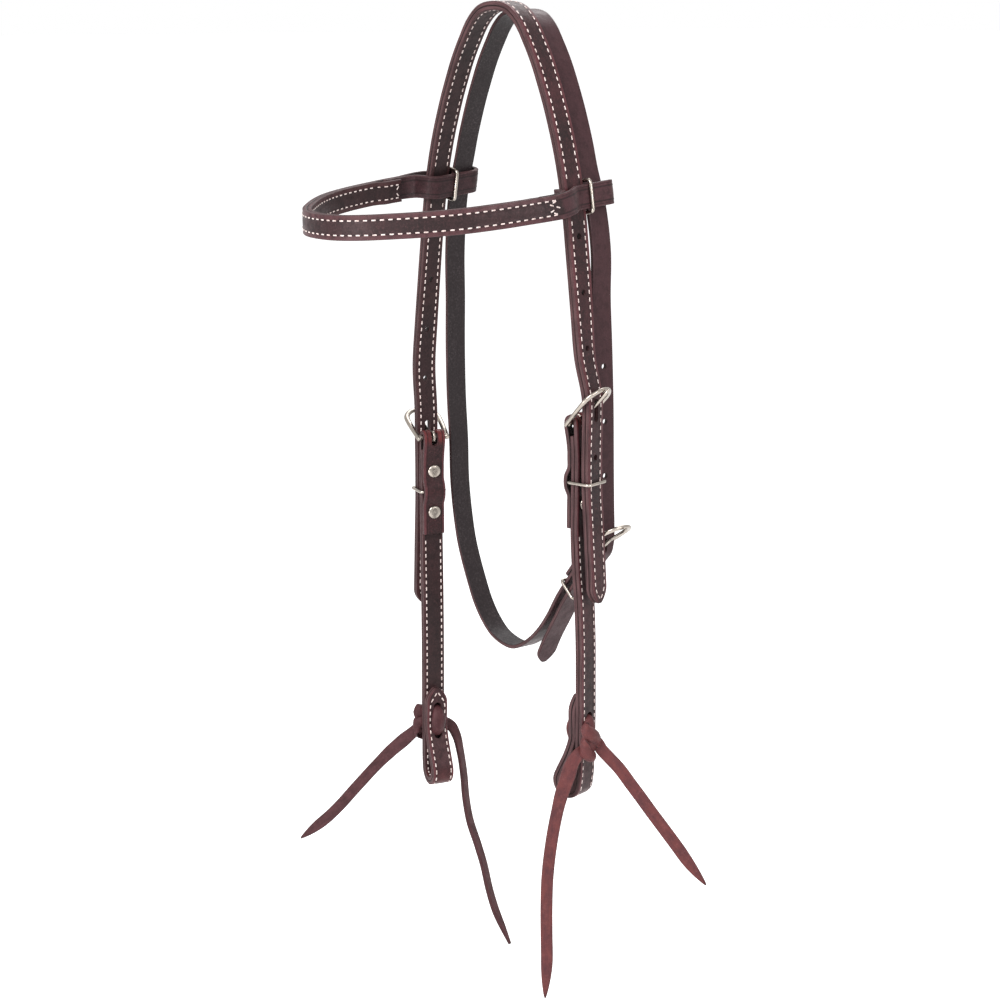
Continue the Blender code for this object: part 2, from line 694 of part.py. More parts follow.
def crown_half(sign):
    """Rows from a billet's tip up to the top of the arch."""
    place = side_place(sign)
    drop = NEAR_BILLET_DROP if sign > 0 else FAR_BILLET_DROP
    rows = []
    for out, up in BILLET_SHARES:
        point = place.at(out * BILLET_STANDOFF, 0.0, up * drop)
        rows.append((*point, sign * CHEEK_YAW))
    twist_end = place.bar.z + TWIST_END_ABOVE_BAR
    for half, depth in reversed(CROWN_ARCH_SHARES):
        level = CROWN_APEX - depth * CROWN_REACH
        if level < place.bar.z + ARCH_ABOVE_BAR:
            continue
        turned = (-TWIST_START_DEPTH - level) / (-TWIST_START_DEPTH - twist_end)
        turned = min(max(turned, 0.0), 1.0)
        eased = turned * turned * (3 - 2 * turned)
        rows.append((sign * half * CROWN_HALF_WIDTH, 0.0, level, sign * CHEEK_YAW * eased))
    return rows


def make_crown():
    near, far = crown_half(1.0), crown_half(-1.0)
    route = Route(near + list(reversed(far))[1:], yawed)
    slots = []
    for hole in range(HOLE_COUNT):
        distance = FIRST_HOLE + hole * HOLE_PITCH
        if hole != TONGUE_HOLE:
            for place in (distance, route.length - distance):
                slots.append(slot_on(route, place, HOLE_RADIUS, 0.0, 2 * PLY))
            continue
        span = (distance - HOLE_PITCH, distance + HOLE_PITCH)
        near_line = tongue_line(side_place(1.0), NEAR_FRAME_TILT)
        far_line = tongue_line(side_place(-1.0), FAR_FRAME_TILT)
        crossings = (
            route.nearest(near_line, *span),
            route.nearest(far_line, route.length - span[1], route.length - span[0]))
        for place in crossings:
            slots.append(slot_on(route, place, TONGUE_SLOT_RADIUS, TONGUE_SLOT_HALF_LENGTH, 2 * PLY))
    cutter = make_cutter("crown_holes", slots)
    for name, offset, material in (
            ("crown_outer_layer", -LAYER_STEP / 2, OXBLOOD), ("crown_lining", LAYER_STEP / 2, DARK_LINING)):
        layer = make_strap(name, route, material, offset, start_tip=TIP_LENGTH, end_tip=TIP_LENGTH)
        cut(layer, cutter)
    return route


# Cheek straps

def cheek_rows(bow_column):
    """Rows of the outer layer: fold-back, over the heel bar, down the front and round the eye."""
    back_out = CHEEK_FRONT_OUT - 2 * LAYER_STEP
    bulge = back_out - KEEPER_BULGE
    middle = (LOWER_SCREW_DROP + UPPER_SCREW_DROP) / 2
    half_bulge = (LOWER_SCREW_DROP - UPPER_SCREW_DROP) / 2
    flat = UPPER_SCREW_DROP - SCREW_HEAD_RADIUS - GAP
    rows = [(back_out, -FOLD_BACK_DROP), (back_out, -LOWER_SCREW_DROP)]
    starts, crests = (half_bulge * share for share in KEEPER_BULGE_SHARES)
    rows += [(back_out, -middle - starts), (bulge, -middle - crests)]
    rows += [(bulge, -middle + crests), (back_out, -middle + starts)]
    back_spread, front_spread = (PLY * share for share in FOLD_SPREAD_SHARES)
    spread_drop = flat * FOLD_SPREAD_HEIGHT_SHARE
    rows += [(back_out, -UPPER_SCREW_DROP), (back_out, -flat), (back_out - back_spread, -spread_drop)]
    for part in range(BEND_STEPS + 1):
        angle = math.pi * (1 - part / BEND_STEPS)
        rows.append((FOLD_RADIUS * math.cos(angle), FOLD_RADIUS * math.sin(angle)))
    rows += [(CHEEK_FRONT_OUT - front_spread, -spread_drop), (CHEEK_FRONT_OUT, -flat)]
    rows += [(CHEEK_FRONT_OUT, -LOWER_SCREW_DROP), (CHEEK_FRONT_OUT, -FOLD_BACK_DROP)]
    for share in CHEEK_BOW_SHARES[1:]:
        rows.append((CHEEK_FRONT_OUT + share[bow_column] * CHEEK_BOW, -share[0] * CHEEK_DROP))
    outer_radius = EYE_RADIUS + 2 * PLY + GAP - PLY / 2
    eye_edge = CHEEK_FRONT_OUT + EYE_BOW_SHARES[bow_column - 1] * CHEEK_BOW
    eye_out = eye_edge - outer_radius
    eye_drop = CHEEK_DROP - outer_radius - PLY / 2
    for part in range(TURN_STEPS + 1):
        angle = -(math.pi + TURN_LEAN) * part / TURN_STEPS
        rows.append((eye_out + outer_radius * math.cos(angle), -eye_drop + outer_radius * math.sin(angle)))
    joined = CHEEK_FRONT_OUT + CHEEK_BOW_SHARES[-1][bow_column] * CHEEK_BOW - 3 * LAYER_STEP
    last = rows[-1]
    for share in TURN_STRAIGHT_SHARES:
        rows.append((last[0] + (joined - last[0]) * share, last[1] + (-TURN_JOIN_DROP - last[1]) * share))
    upper = CHEEK_FRONT_OUT + CHEEK_BOW_SHARES[-2][bow_column] * CHEEK_BOW - 3 * LAYER_STEP
    rows.append((joined + GAP, -TURN_JOIN_DROP + PLY))
    rows += [(upper, -UPPER_LACE_HOLE_DROP), (upper, -TURN_END_DROP)]
    return rows


def make_cheek(prefix, sign):
    place = side_place(sign)
    rows = cheek_rows(1 if sign > 0 else 2)
    route = Route(
        [(*place.at(out, 0.0, up), sign * CHEEK_YAW) for out, up in rows], yawed)
    over_bar = route.nearest_reach(place.at(0.0, 0.0, FOLD_RADIUS))
    lining_start = over_bar + FOLD_RADIUS * math.pi / 2 + LINING_START_DROP
    screws = []
    outer_face = CHEEK_FRONT_OUT + PLY / 2
    inner_face = CHEEK_FRONT_OUT - 2 * LAYER_STEP - PLY / 2
    through = (outer_face - inner_face) / 2 + OVERRUN
    for drop in (UPPER_SCREW_DROP, LOWER_SCREW_DROP):
        centre = place.at((outer_face + inner_face) / 2, 0.0, -drop)
        screws.append((centre, place.out, place.up, SCREW_HOLE_RADIUS, 0.0, through))
    lace = []
    for drop in (UPPER_LACE_HOLE_DROP, LOWER_LACE_HOLE_DROP):
        centre = place.at(CHEEK_FRONT_OUT, 0.0, -drop)
        lace.append((centre, place.out, place.up, LACE_HOLE_RADIUS, 0.0, 5 * PLY))
    fold = (place.at(0.0, 0.0, FOLD_SLOT_RISE), place.out, place.up, FOLD_SLOT_RADIUS,
            FOLD_SLOT_HALF_LENGTH, FOLD_RADIUS + 2 * PLY)
    cutter = make_cutter(prefix + "cheek_holes", screws + lace + [fold])
    bends = [route.row_reach[index] for index in range(len(rows)) if abs(rows[index][1]) > BAR_RADIUS]
    outer = make_strap(prefix + "cheek_outer_layer", route, OXBLOOD, end_tip=TIP_LENGTH, stops=bends)
    lining = make_strap(prefix + "cheek_lining", route, DARK_LINING, -sign * LAYER_STEP, start=lining_start,
                        end_tip=TIP_LENGTH)
    cut(outer, cutter)
    cut(lining, cutter)
    make_buckle(prefix, place, NEAR_FRAME_TILT if sign > 0 else FAR_FRAME_TILT)
    make_keeper(prefix + "keeper_wire", place, -KEEPER_DROP, KEEPER_INNER_OUT, KEEPER_OUTER_OUT)
    for level, drop in (("upper", UPPER_SCREW_DROP), ("lower", LOWER_SCREW_DROP)):
        make_screw(prefix + level + "_screw", place, -drop, outer_face, inner_face)
    make_knot(prefix, place, CHEEK_BOW_SHARES[-2][1 if sign > 0 else 2] * CHEEK_BOW)
    return route


def make_keeper(name, place, up, inner, outer):
    centre = place.at((inner + outer) / 2, 0.0, up)
    points = rounded_rectangle(
        centre, place.out, place.back, (outer - inner) / 2, KEEPER_HALF_WIDTH, WIRE_CORNER)
    make_wire(name, points, KEEPER_WIRE_RADIUS, STEEL, centre, cyclic=True)


def make_screw(name, place, up, outer_face, inner_face):
    grip = outer_face - inner_face + GAP
    head = place.at(outer_face + GAP, 0.0, up)
    make_turned(name + "_post", post_profile(grip), facing_matrix(head, place.out, place.back), STEEL)
    foot = place.at(inner_face - GAP, 0.0, up)
    make_turned(name + "_cap", cap_profile(grip), facing_matrix(foot, -place.out, place.back), STEEL)


# Tie laces

def make_knot(prefix, place, bow):
    """The knot on the cheek's outer face, with the lace that holds it through two holes."""
    outer_face = CHEEK_FRONT_OUT + bow + PLY / 2
    inner_face = outer_face - 4 * PLY - 3 * GAP
    centre_out = outer_face + GAP + KNOT_HALF_THICKNESS
    inside = inner_face - PLY / 2 - LACE_CORE_RADIUS
    bend = LACE_CORE_RADIUS
    outside = outer_face + GAP + LACE_CORE_RADIUS
    top, low = UPPER_LACE_HOLE_DROP, LOWER_LACE_HOLE_DROP
    eased = LACE_BEND_SHARE * bend
    line = [(centre_out, -KNOT_DROP + KNOT_HALF_HEIGHT / 2), (outside + bend / 2, -top - eased - bend / 2)]
    line.append((outside, -top - bend / 2))
    line += [(outer_face + (inner_face - outer_face) * share, -top) for share in LACE_PASS_SHARES]
    line += [(inside + bend / 2, -top - bend / 4), (inside, -top - eased)]
    line += [(inside, -low + eased), (inside + bend / 2, -low + bend / 4)]
    line += [(inner_face + (outer_face - inner_face) * share, -low) for share in LACE_PASS_SHARES]
    line.append((centre_out, -low))
    route = Route([(*place.at(out, 0.0, up), 0.0) for out, up in line], yawed)
    kept = route.stations(0.0, route.length, 2 * LACE_CORE_RADIUS, 2 * STRAP_TURN)
    core = make_wire(
        prefix + "lace_core", [route.points[index] for index in kept], LACE_CORE_RADIUS, None,
        Vector((0.0, 0.0, 0.0)))
    bpy.context.view_layer.update()
    core = as_mesh(core, None)
    where = place.at(centre_out, 0.0, -KNOT_DROP)
    knot = make_ellipsoid(prefix + "tie_knot", where, place, 0.0)
    link_part(knot, LACE_LEATHER)
    cut(knot, core, "UNION")
    room = make_ellipsoid(prefix + "knot_room", where, place, GAP)
    link_cutter(room)
    for ending in ("tie_tail_front", "tie_tail_rear"):
        name = prefix + ending
        tail = Route(lace_rows(name), facing_lace)
        lace = make_strap(
            name, tail, LACE_LEATHER, width=LACE_WIDTH, thickness=LACE_THICKNESS, end_tip=LACE_TAPER,
            blunt_share=LACE_TIP_SHARE)
        cut(lace, room)


def make_ellipsoid(name, where, place, grow):
    mesh = bpy.data.meshes.new(name)
    shape = bmesh.new()
    bmesh.ops.create_uvsphere(shape, u_segments=ROUND_SEGMENTS, v_segments=ROUND_SEGMENTS // 2, radius=1.0)
    sizes = Vector((KNOT_HALF_THICKNESS + grow, KNOT_HALF_WIDTH + grow, KNOT_HALF_HEIGHT + grow))
    turn = Matrix((place.out, place.back, place.up)).transposed()
    for vert in shape.verts:
        scaled = Vector((vert.co.x * sizes.x, vert.co.y * sizes.y, vert.co.z * sizes.z))
        vert.co = where + turn @ scaled
    shape.normal_update()
    bmesh.ops.recalc_face_normals(shape, faces=shape.faces)
    shape.to_mesh(mesh)
    shape.free()
    return bpy.data.objects.new(name, mesh)


# Browband

def faded(reach, start, length):
    return 1.0 - min(max((reach - start) / length, 0.0), 1.0)


def band_row(sign, half, reach):
    """A row of the browband: sideways place, place forwards, height, and lean."""
    forward = -reach * BAND_REACH
    level = -BAND_DEPTH + BAND_SLOPE * forward
    lean = BAND_LEAN * faded(reach, *BAND_LEAN_FADE_SHARES)
    aside = half * BAND_HALF_WIDTH
    level += (aside - LOOP_MIDDLE) * math.tan(BAND_LEAN) * faded(reach, *LOOP_LEVEL_FADE_SHARES)
    return (sign * aside, forward, level, sign * lean)


def leaned(row, along):
    return Vector((-math.sin(row[3]), 0.0, math.cos(row[3])))


def band_half(sign):
    """Rows from the cut end, round the loop, to the row before the middle of the forehead."""
    rows = [band_row(sign, *share) for share in BAND_RETURN_SHARES]
    loop_radius = (LOOP_OUTER - LOOP_INNER) / 2
    for back in (0.0, PLY, LOOP_BACK - PLY):
        rows.append(band_row(sign, LOOP_INNER / BAND_HALF_WIDTH, -back / BAND_REACH))
    for part in range(BEND_STEPS + 1):
        angle = math.pi * (1 - part / BEND_STEPS)
        half = LOOP_MIDDLE + loop_radius * math.cos(angle)
        back = LOOP_BACK + loop_radius * math.sin(angle)
        rows.append(band_row(sign, half / BAND_HALF_WIDTH, -back / BAND_REACH))
    for back in (LOOP_BACK - PLY, 3 * PLY, 2 * PLY):
        rows.append(band_row(sign, LOOP_OUTER / BAND_HALF_WIDTH, -back / BAND_REACH))
    return rows + [band_row(sign, *share) for share in BAND_SHARES[:-1]]


def make_browband():
    near = band_half(1.0)
    far = band_half(-1.0)
    middle = band_row(0.0, *BAND_SHARES[-1])
    route = Route(near + [middle] + list(reversed(far)), leaned)
    make_strap("browband_outer_layer", route, OXBLOOD)

    start = distance_at(route, LINING_START_SHARE, 1.0)
    ramp_near, ramp_far = (distance_at(route, share, 1.0) for share in LINING_RAMP_SHARES)
    inside = -1.0 if route.frame(route.index_at(route.length / 2))[3].y < 0 else 1.0

    def lining_offset(distance):
        from_end = min(distance, route.length - distance)
        part = min(max((from_end - ramp_near) / (ramp_far - ramp_near), 0.0), 1.0)
        eased = part * part * (3 - 2 * part)
        return inside * (LAYER_STEP + (LAYER_STEP + 2 * GAP) * (1 - eased))

    stops = (ramp_near, ramp_far, route.length - ramp_far, route.length - ramp_near)
    make_strap("browband_lining", route, DARK_LINING, lining_offset, start=start,
               end=route.length - start, fishtail=(True, True), stops=stops)
    lean_up = Vector((-math.sin(BAND_LEAN), 0.0, math.cos(BAND_LEAN)))
    for prefix, sign in (("near_", 1.0), ("far_", -1.0)):
        up = Vector((sign * lean_up.x, 0.0, lean_up.z))
        side = Vector((sign * lean_up.z, 0.0, -lean_up.x))
        centre = Vector((sign * LOOP_MIDDLE, BAND_WIRE_BACK, -BAND_DEPTH + BAND_SLOPE * BAND_WIRE_BACK))
        half = (LOOP_OUTER - LOOP_INNER + PLY) / 2 + GAP + BAND_WIRE_RADIUS
        points = rounded_rectangle(centre, side, up, half, BAND_WIRE_HALF_HEIGHT, WIRE_CORNER)
        make_wire(prefix + "browband_wire_loop", points, BAND_WIRE_RADIUS, STEEL, centre, cyclic=True)


def distance_at(route, share, sign):
    """How far along the route the outer run first reaches a share of the browband's reach."""
    turned = False
    for index, point in enumerate(route.points):
        if point.y > LOOP_BACK:
            turned = True
        if turned and point.y <= -share * BAND_REACH:
            return route.reach[index]
    return 0.0


# Throatlatch

def throat_back(level):
    part = min(max((-level - THROAT_SWAY_START) / THROAT_SWAY_LENGTH, 0.0), 1.0)
    return THROAT_TOP_BACK + (THROAT_LOW_BACK - THROAT_TOP_BACK) * part * part * (3 - 2 * part)


def throat_row(half, depth):
    level = -depth * THROAT_DROP
    return (half * THROAT_HALF_WIDTH, throat_back(level), level, 0.0)


def throat_place():
    out = Vector((math.cos(THROAT_END_TILT), 0.0, -math.sin(THROAT_END_TILT)))
    up = Vector((math.sin(THROAT_END_TILT), 0.0, math.cos(THROAT_END_TILT)))
    bar = Vector((THROAT_BAR_OUT, THROAT_LOW_BACK, -THROAT_BAR_DEPTH))
    return Place(bar, out, Vector((0.0, 1.0, 0.0)), up)


def make_throatlatch():
    place = throat_place()
    rows = [throat_row(*share) for share in THROAT_NEAR_SHARES]
    arch = CROWN_ARCH_SHARES[:THROAT_POLL_ROWS]
    over = []
    for index, (half, depth) in enumerate(arch):
        here = Vector((half * CROWN_HALF_WIDTH, -depth * CROWN_REACH))
        after = arch[min(index + 1, len(arch) - 1)]
        before = arch[max(index - 1, 0)]
        run = Vector(((after[0] - before[0]) * CROWN_HALF_WIDTH, -(after[1] - before[1]) * CROWN_REACH))
        if index == 0:
            run = Vector((1.0, 0.0))
        run.normalize()
        inset = here + Vector((run.y, -run.x)) * THROAT_TOP_INSET
        over.append((inset.x, THROAT_TOP_BACK, CROWN_APEX + inset.y, 0.0))
    rows += list(reversed(over))
    rows += [(-row[0], row[1], row[2], row[3]) for row in over[1:]]
    rows += [throat_row(*share) for share in THROAT_FAR_SHARES]
    front = LAYER_STEP / 2
    flat = THROAT_SCREW_DROP - SCREW_HEAD_RADIUS - GAP
    end_lines = [(front, -THROAT_KEEPER_DROP), (front, -THROAT_FOLD_BACK + PLY), (front, -THROAT_SCREW_DROP)]
    end_lines += [(front, -flat), (front + PLY / 2, -flat / 2)]
    for part in range(BEND_STEPS + 1):
        angle = math.pi * part / BEND_STEPS
        end_lines.append((FOLD_RADIUS * math.cos(angle), FOLD_RADIUS * math.sin(angle)))
    end_lines += [(-front - PLY / 2, -flat / 2), (-front, -flat)]
    end_lines += [(-front, -THROAT_SCREW_DROP), (-front, -THROAT_FOLD_BACK)]
    rows += [(*place.at(out, 0.0, up), 0.0) for out, up in end_lines]
    route = Route(rows, yawed)

    slots = []
    for hole in range(HOLE_COUNT):
        distance = THROAT_FIRST_HOLE + hole * THROAT_HOLE_PITCH
        if hole != THROAT_TONGUE_HOLE:
            slots.append(slot_on(route, distance, HOLE_RADIUS, 0.0, PLY))
            continue
        line = tongue_line(place, THROAT_FRAME_TILT - THROAT_END_TILT)
        crossing = route.nearest(line, distance - THROAT_HOLE_PITCH, distance + THROAT_HOLE_PITCH)
        slots.append(slot_on(route, crossing, TONGUE_SLOT_RADIUS, TONGUE_SLOT_HALF_LENGTH, PLY))
    outer_face = front + PLY / 2
    screw_hole = (place.at(0.0, 0.0, -THROAT_SCREW_DROP), place.out, place.up, SCREW_HOLE_RADIUS, 0.0,
                  outer_face + OVERRUN / 2)
    fold_slot = (place.at(0.0, 0.0, FOLD_SLOT_RISE), place.out, place.up, FOLD_SLOT_RADIUS,
                 FOLD_SLOT_HALF_LENGTH, FOLD_RADIUS + PLY / 2)
    bends = [route.nearest_reach(place.at(side, 0.0, -flat)) for side in (front, -front)]
    strap = make_strap("throatlatch_strap", route, THROAT_LEATHER, start_tip=TIP_LENGTH, stops=bends)
    cut(strap, make_cutter("throat_holes", slots))
    cut(strap, make_cutter("throat_buckle_end_holes", [screw_hole, fold_slot]))
    make_buckle("throat_", place, THROAT_FRAME_TILT - THROAT_END_TILT)
    make_keeper("throat_keeper_wire", place, -THROAT_KEEPER_DROP, THROAT_KEEPER_INNER, THROAT_KEEPER_OUTER)
    make_screw("throat_screw", place, -THROAT_SCREW_DROP, outer_face, -outer_face)


def main():
    make_crown()
    make_cheek("near_", 1.0)
    make_cheek("far_", -1.0)
    make_browband()
    make_throatlatch()
    bpy.context.view_layer.update()


main()
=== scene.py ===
"""Western headstall: doubled and stitched leather straps, buckles, wire keepers and tie laces.

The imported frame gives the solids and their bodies, and this script gives each piece its looks.
Metres, +Z up. The forehead is towards -Y, and the near side is towards +X.
"""

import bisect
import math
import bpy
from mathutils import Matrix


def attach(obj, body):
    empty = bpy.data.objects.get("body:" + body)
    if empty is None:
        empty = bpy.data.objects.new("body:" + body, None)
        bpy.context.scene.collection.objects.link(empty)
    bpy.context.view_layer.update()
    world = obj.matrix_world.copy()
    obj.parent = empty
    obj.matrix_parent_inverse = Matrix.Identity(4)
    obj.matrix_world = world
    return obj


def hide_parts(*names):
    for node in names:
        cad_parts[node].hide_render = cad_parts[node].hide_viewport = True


bl_info = {
    "name": "Western Headstall",
    "version": (1, 0, 0),
    "blender": (4, 5, 0),
    "location": "View3D > Sidebar > Headstall",
    "description": "Dresses a western headstall in stitched leather and polished metal",
    "category": "Add Mesh",
}

import bmesh
import bpy
from mathutils import Matrix, Vector

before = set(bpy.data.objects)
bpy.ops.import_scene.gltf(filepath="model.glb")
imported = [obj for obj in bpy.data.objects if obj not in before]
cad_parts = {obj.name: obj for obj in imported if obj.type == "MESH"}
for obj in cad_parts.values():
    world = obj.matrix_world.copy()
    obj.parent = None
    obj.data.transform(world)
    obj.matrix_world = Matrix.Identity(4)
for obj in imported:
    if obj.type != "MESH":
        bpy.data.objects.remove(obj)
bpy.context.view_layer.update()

# Leather
STRAP_WIDTH = 0.016
PLY = 0.00275
GAP = 0.0003
LAYER_STEP = PLY + GAP
TIP_LENGTH = 0.011
TIP_BLUNT_SHARE = 0.16
TIP_FULLNESS = 0.8
TIP_STATION_SHARES = (0.1, 0.2, 0.31, 0.43, 0.56, 0.7, 0.85, 1.0)
FISHTAIL_DEPTH = 0.003

# Crown strap
CROWN_HALF_WIDTH = 0.091
CROWN_REACH = 0.2518
CROWN_APEX = PLY + GAP / 2
TWIST_START_DEPTH = 0.150
TWIST_END_ABOVE_BAR = 0.020
ARCH_ABOVE_BAR = 0.030

# Where the arch of the crown runs: half width, and depth under its top, at each point
CROWN_ARCH_SHARES = [
    (0.0, 0.0), (0.177, 0.012), (0.2725, 0.0377), (0.3824, 0.0894), (0.4725, 0.141),
    (0.545, 0.193), (0.611, 0.245), (0.669, 0.2975), (0.721, 0.350), (0.765, 0.403),
    (0.820, 0.488), (0.886, 0.644), (0.933, 0.7796), (0.969, 0.889), (1.0, 1.0),
]

# Billets, the pointed ends of the crown, and their holes
BILLET_STANDOFF = 0.0122
NEAR_BILLET_DROP = 0.122
FAR_BILLET_DROP = 0.1295
BILLET_SHARES = [
    (1.434, -1.0), (1.29, -0.779), (1.156, -0.574), (1.016, -0.369), (0.984, -0.164), (1.0, 0.0),
    (0.99, 0.115),
]
HOLE_PITCH = 0.0364
FIRST_HOLE = 0.0992
HOLE_COUNT = 5
TONGUE_HOLE = 1
HOLE_RADIUS = 0.002
TONGUE_SLOT_HALF_LENGTH = 0.0045
TONGUE_SLOT_RADIUS = 0.0022

# Cheek buckles
BAR_HALF_SPAN = 0.0813
NEAR_BAR_DEPTH = 0.265
FAR_BAR_DEPTH = NEAR_BAR_DEPTH + HOLE_PITCH
CHEEK_YAW = math.radians(14.0)
NEAR_FRAME_TILT = math.radians(42.0)
FAR_FRAME_TILT = math.radians(60.0)
BAR_RADIUS = 0.002
FRAME_INNER_HALF_WIDTH = 0.0088
FRAME_SIDE_WIDTH = 0.0037
FRAME_THICKNESS = 0.0026
FRAME_ARC_CENTRE = 0.0204
FRAME_HEEL = 0.0026
TONGUE_RADIUS = 0.0012
TONGUE_TIP_REACH = 0.0345
TONGUE_WRAP_TURN = math.radians(270.0)
TONGUE_SHARES = (0.22, 0.5, 0.8, 1.0)

# Cheek straps
FOLD_RADIUS = BAR_RADIUS + GAP + PLY / 2
CHEEK_FRONT_OUT = 0.0050
LINING_START_DROP = 0.009
FOLD_BACK_DROP = 0.072
UPPER_SCREW_DROP = 0.025
LOWER_SCREW_DROP = 0.0555
KEEPER_DROP = (UPPER_SCREW_DROP + LOWER_SCREW_DROP) / 2
KEEPER_BULGE = 0.0025
KEEPER_BULGE_SHARES = (0.62, 0.25)
FOLD_SPREAD_SHARES = (0.35, 0.2)
FOLD_SPREAD_HEIGHT_SHARE = 0.6
FOLD_SLOT_RADIUS = 0.0027
FOLD_SLOT_DROP = 0.006
CHEEK_DROP = 0.2625
CHEEK_BOW = 0.0055
# Depth down the cheek, then how far the near and the far cheek bow outwards there
CHEEK_BOW_SHARES = [
    (0.300, 0.00, 0.00), (0.366, 0.20, -0.09), (0.469, 0.64, -0.20), (0.575, 0.89, -0.24),
    (0.682, 0.96, -0.20), (0.792, 1.00, -0.13), (0.869, 0.93, -0.16),
]
EYE_RADIUS = 0.0056
EYE_BOW_SHARES = (0.69, -0.26)
TURN_JOIN_DROP = 0.223
TURN_END_DROP = 0.189
TURN_STRAIGHT_SHARES = (0.12, 0.86)
TURN_LEAN = math.radians(22.0)
UPPER_LACE_HOLE_DROP = 0.203
LOWER_LACE_HOLE_DROP = 0.225
LACE_HOLE_RADIUS = 0.0031

# Keepers and screws
KEEPER_WIRE_RADIUS = 0.0011
KEEPER_HALF_WIDTH = 0.0096
KEEPER_INNER_OUT = -0.00083
KEEPER_OUTER_OUT = 0.0169
WIRE_CORNER = 0.0025
SCREW_HEAD_RADIUS = 0.00475
SCREW_HEAD_HEIGHT = 0.0014
SCREW_DIMPLE_RADIUS = 0.0009
SCREW_DIMPLE_DEPTH = 0.00025
SCREW_DOME_SHARES = [
    (0.30, 1.0), (0.52, 0.95), (0.72, 0.85), (0.86, 0.70), (0.95, 0.50), (0.99, 0.28), (1.0, 0.08),
    (0.98, 0.0),
]

# Browband
BAND_DEPTH = 0.1198
BAND_SLOPE = 0.097
BAND_REACH = 0.1472
BAND_LEAN = math.radians(9.8)
BAND_LEAN_FADE_SHARES = (0.1, 0.35)
LOOP_OUTER = 0.0798
LOOP_INNER = 0.06695
LOOP_BACK = 0.0255
LOOP_MIDDLE = (LOOP_OUTER + LOOP_INNER) / 2
BAND_SWELL = 0.0107
BAND_HALF_WIDTH = LOOP_OUTER + BAND_SWELL
LOOP_LEVEL_FADE_SHARES = (0.03, 0.07)
# Half of the browband, from the loop to the middle of the forehead
BAND_SHARES = [
    (0.889, -0.008), (0.918, 0.026), (0.962, 0.064), (1.0, 0.150), (0.996, 0.220), (0.975, 0.299),
    (0.923, 0.462), (0.818, 0.632), (0.700, 0.734), (0.541, 0.836), (0.365, 0.930), (0.188, 0.985),
    (0.0, 1.0),
]
# The end that comes back inside, from its cut end to the inner side of the loop
BAND_RETURN_SHARES = [
    (0.9540, 0.246), (0.9625, 0.200), (0.9640, 0.160), (0.952, 0.120), (0.906, 0.089),
    (0.833, 0.0765), (0.768, 0.0595), (0.7425, 0.027),
]
LINING_START_SHARE = 0.157
LINING_RAMP_SHARES = (0.262, 0.325)
BAND_WIRE_RADIUS = 0.0012
BAND_WIRE_HALF_HEIGHT = 0.0105
BAND_WIRE_BACK = 0.0095

# Throatlatch
THROAT_TOP_INSET = 0.0034
THROAT_TOP_BACK = 0.019
THROAT_LOW_BACK = 0.025
THROAT_HALF_WIDTH = 0.084
THROAT_DROP = 0.4463
THROAT_SWAY_START = 0.120
THROAT_SWAY_LENGTH = 0.220
THROAT_POLL_ROWS = 10
THROAT_BAR_OUT = 0.0733
THROAT_BAR_DEPTH = 0.3548
THROAT_END_TILT = math.radians(40.0)
THROAT_FRAME_TILT = math.radians(57.0)
THROAT_FOLD_BACK = 0.034
THROAT_SCREW_DROP = 0.018
THROAT_KEEPER_DROP = 0.0395
THROAT_KEEPER_INNER = -0.00135
THROAT_KEEPER_OUTER = 0.0152
# The near side from its pointed end up to the browband
THROAT_NEAR_SHARES = [
    (0.185, 1.0127), (0.301, 0.9708), (0.443, 0.9290), (0.557, 0.8950), (0.6845, 0.8647),
    (0.802, 0.8364), (0.8785, 0.8192), (0.940, 0.8057), (0.963, 0.7898), (0.967, 0.7686),
    (0.961, 0.7360), (0.957, 0.6917), (0.963, 0.5691), (0.9595, 0.4786), (0.952, 0.4183),
    (0.9595, 0.3437), (0.881, 0.2689),
]
# The far side from the browband down, under the jaw and up to the buckle
THROAT_FAR_SHARES = [
    (-0.866, 0.2690), (-0.945, 0.3750), (-0.962, 0.4560), (-0.985, 0.5220), (-0.998, 0.6210),
    (-0.983, 0.6870), (-0.975, 0.7550), (-0.920, 0.8210), (-0.878, 0.8530), (-0.814, 0.8840),
    (-0.736, 0.9150), (-0.651, 0.9450), (-0.524, 0.9740), (-0.418, 0.9895), (-0.279, 0.9985),
    (-0.127, 1.0), (0.036, 0.9865), (0.208, 0.9605), (0.352, 0.9280), (0.480, 0.8905),
]
THROAT_FIRST_HOLE = 0.092
THROAT_HOLE_PITCH = 0.0374
THROAT_TONGUE_HOLE = 1

# Tie laces
LACE_WIDTH = 0.0085
LACE_THICKNESS = 0.0026
LACE_TAPER = 0.030
LACE_TIP_SHARE = 0.12
KNOT_DROP = 0.222
KNOT_HALF_WIDTH = 0.0085
KNOT_HALF_HEIGHT = 0.013
KNOT_HALF_THICKNESS = 0.00475
LACE_FACING = Vector((0.7678, -0.5999, 0.225))
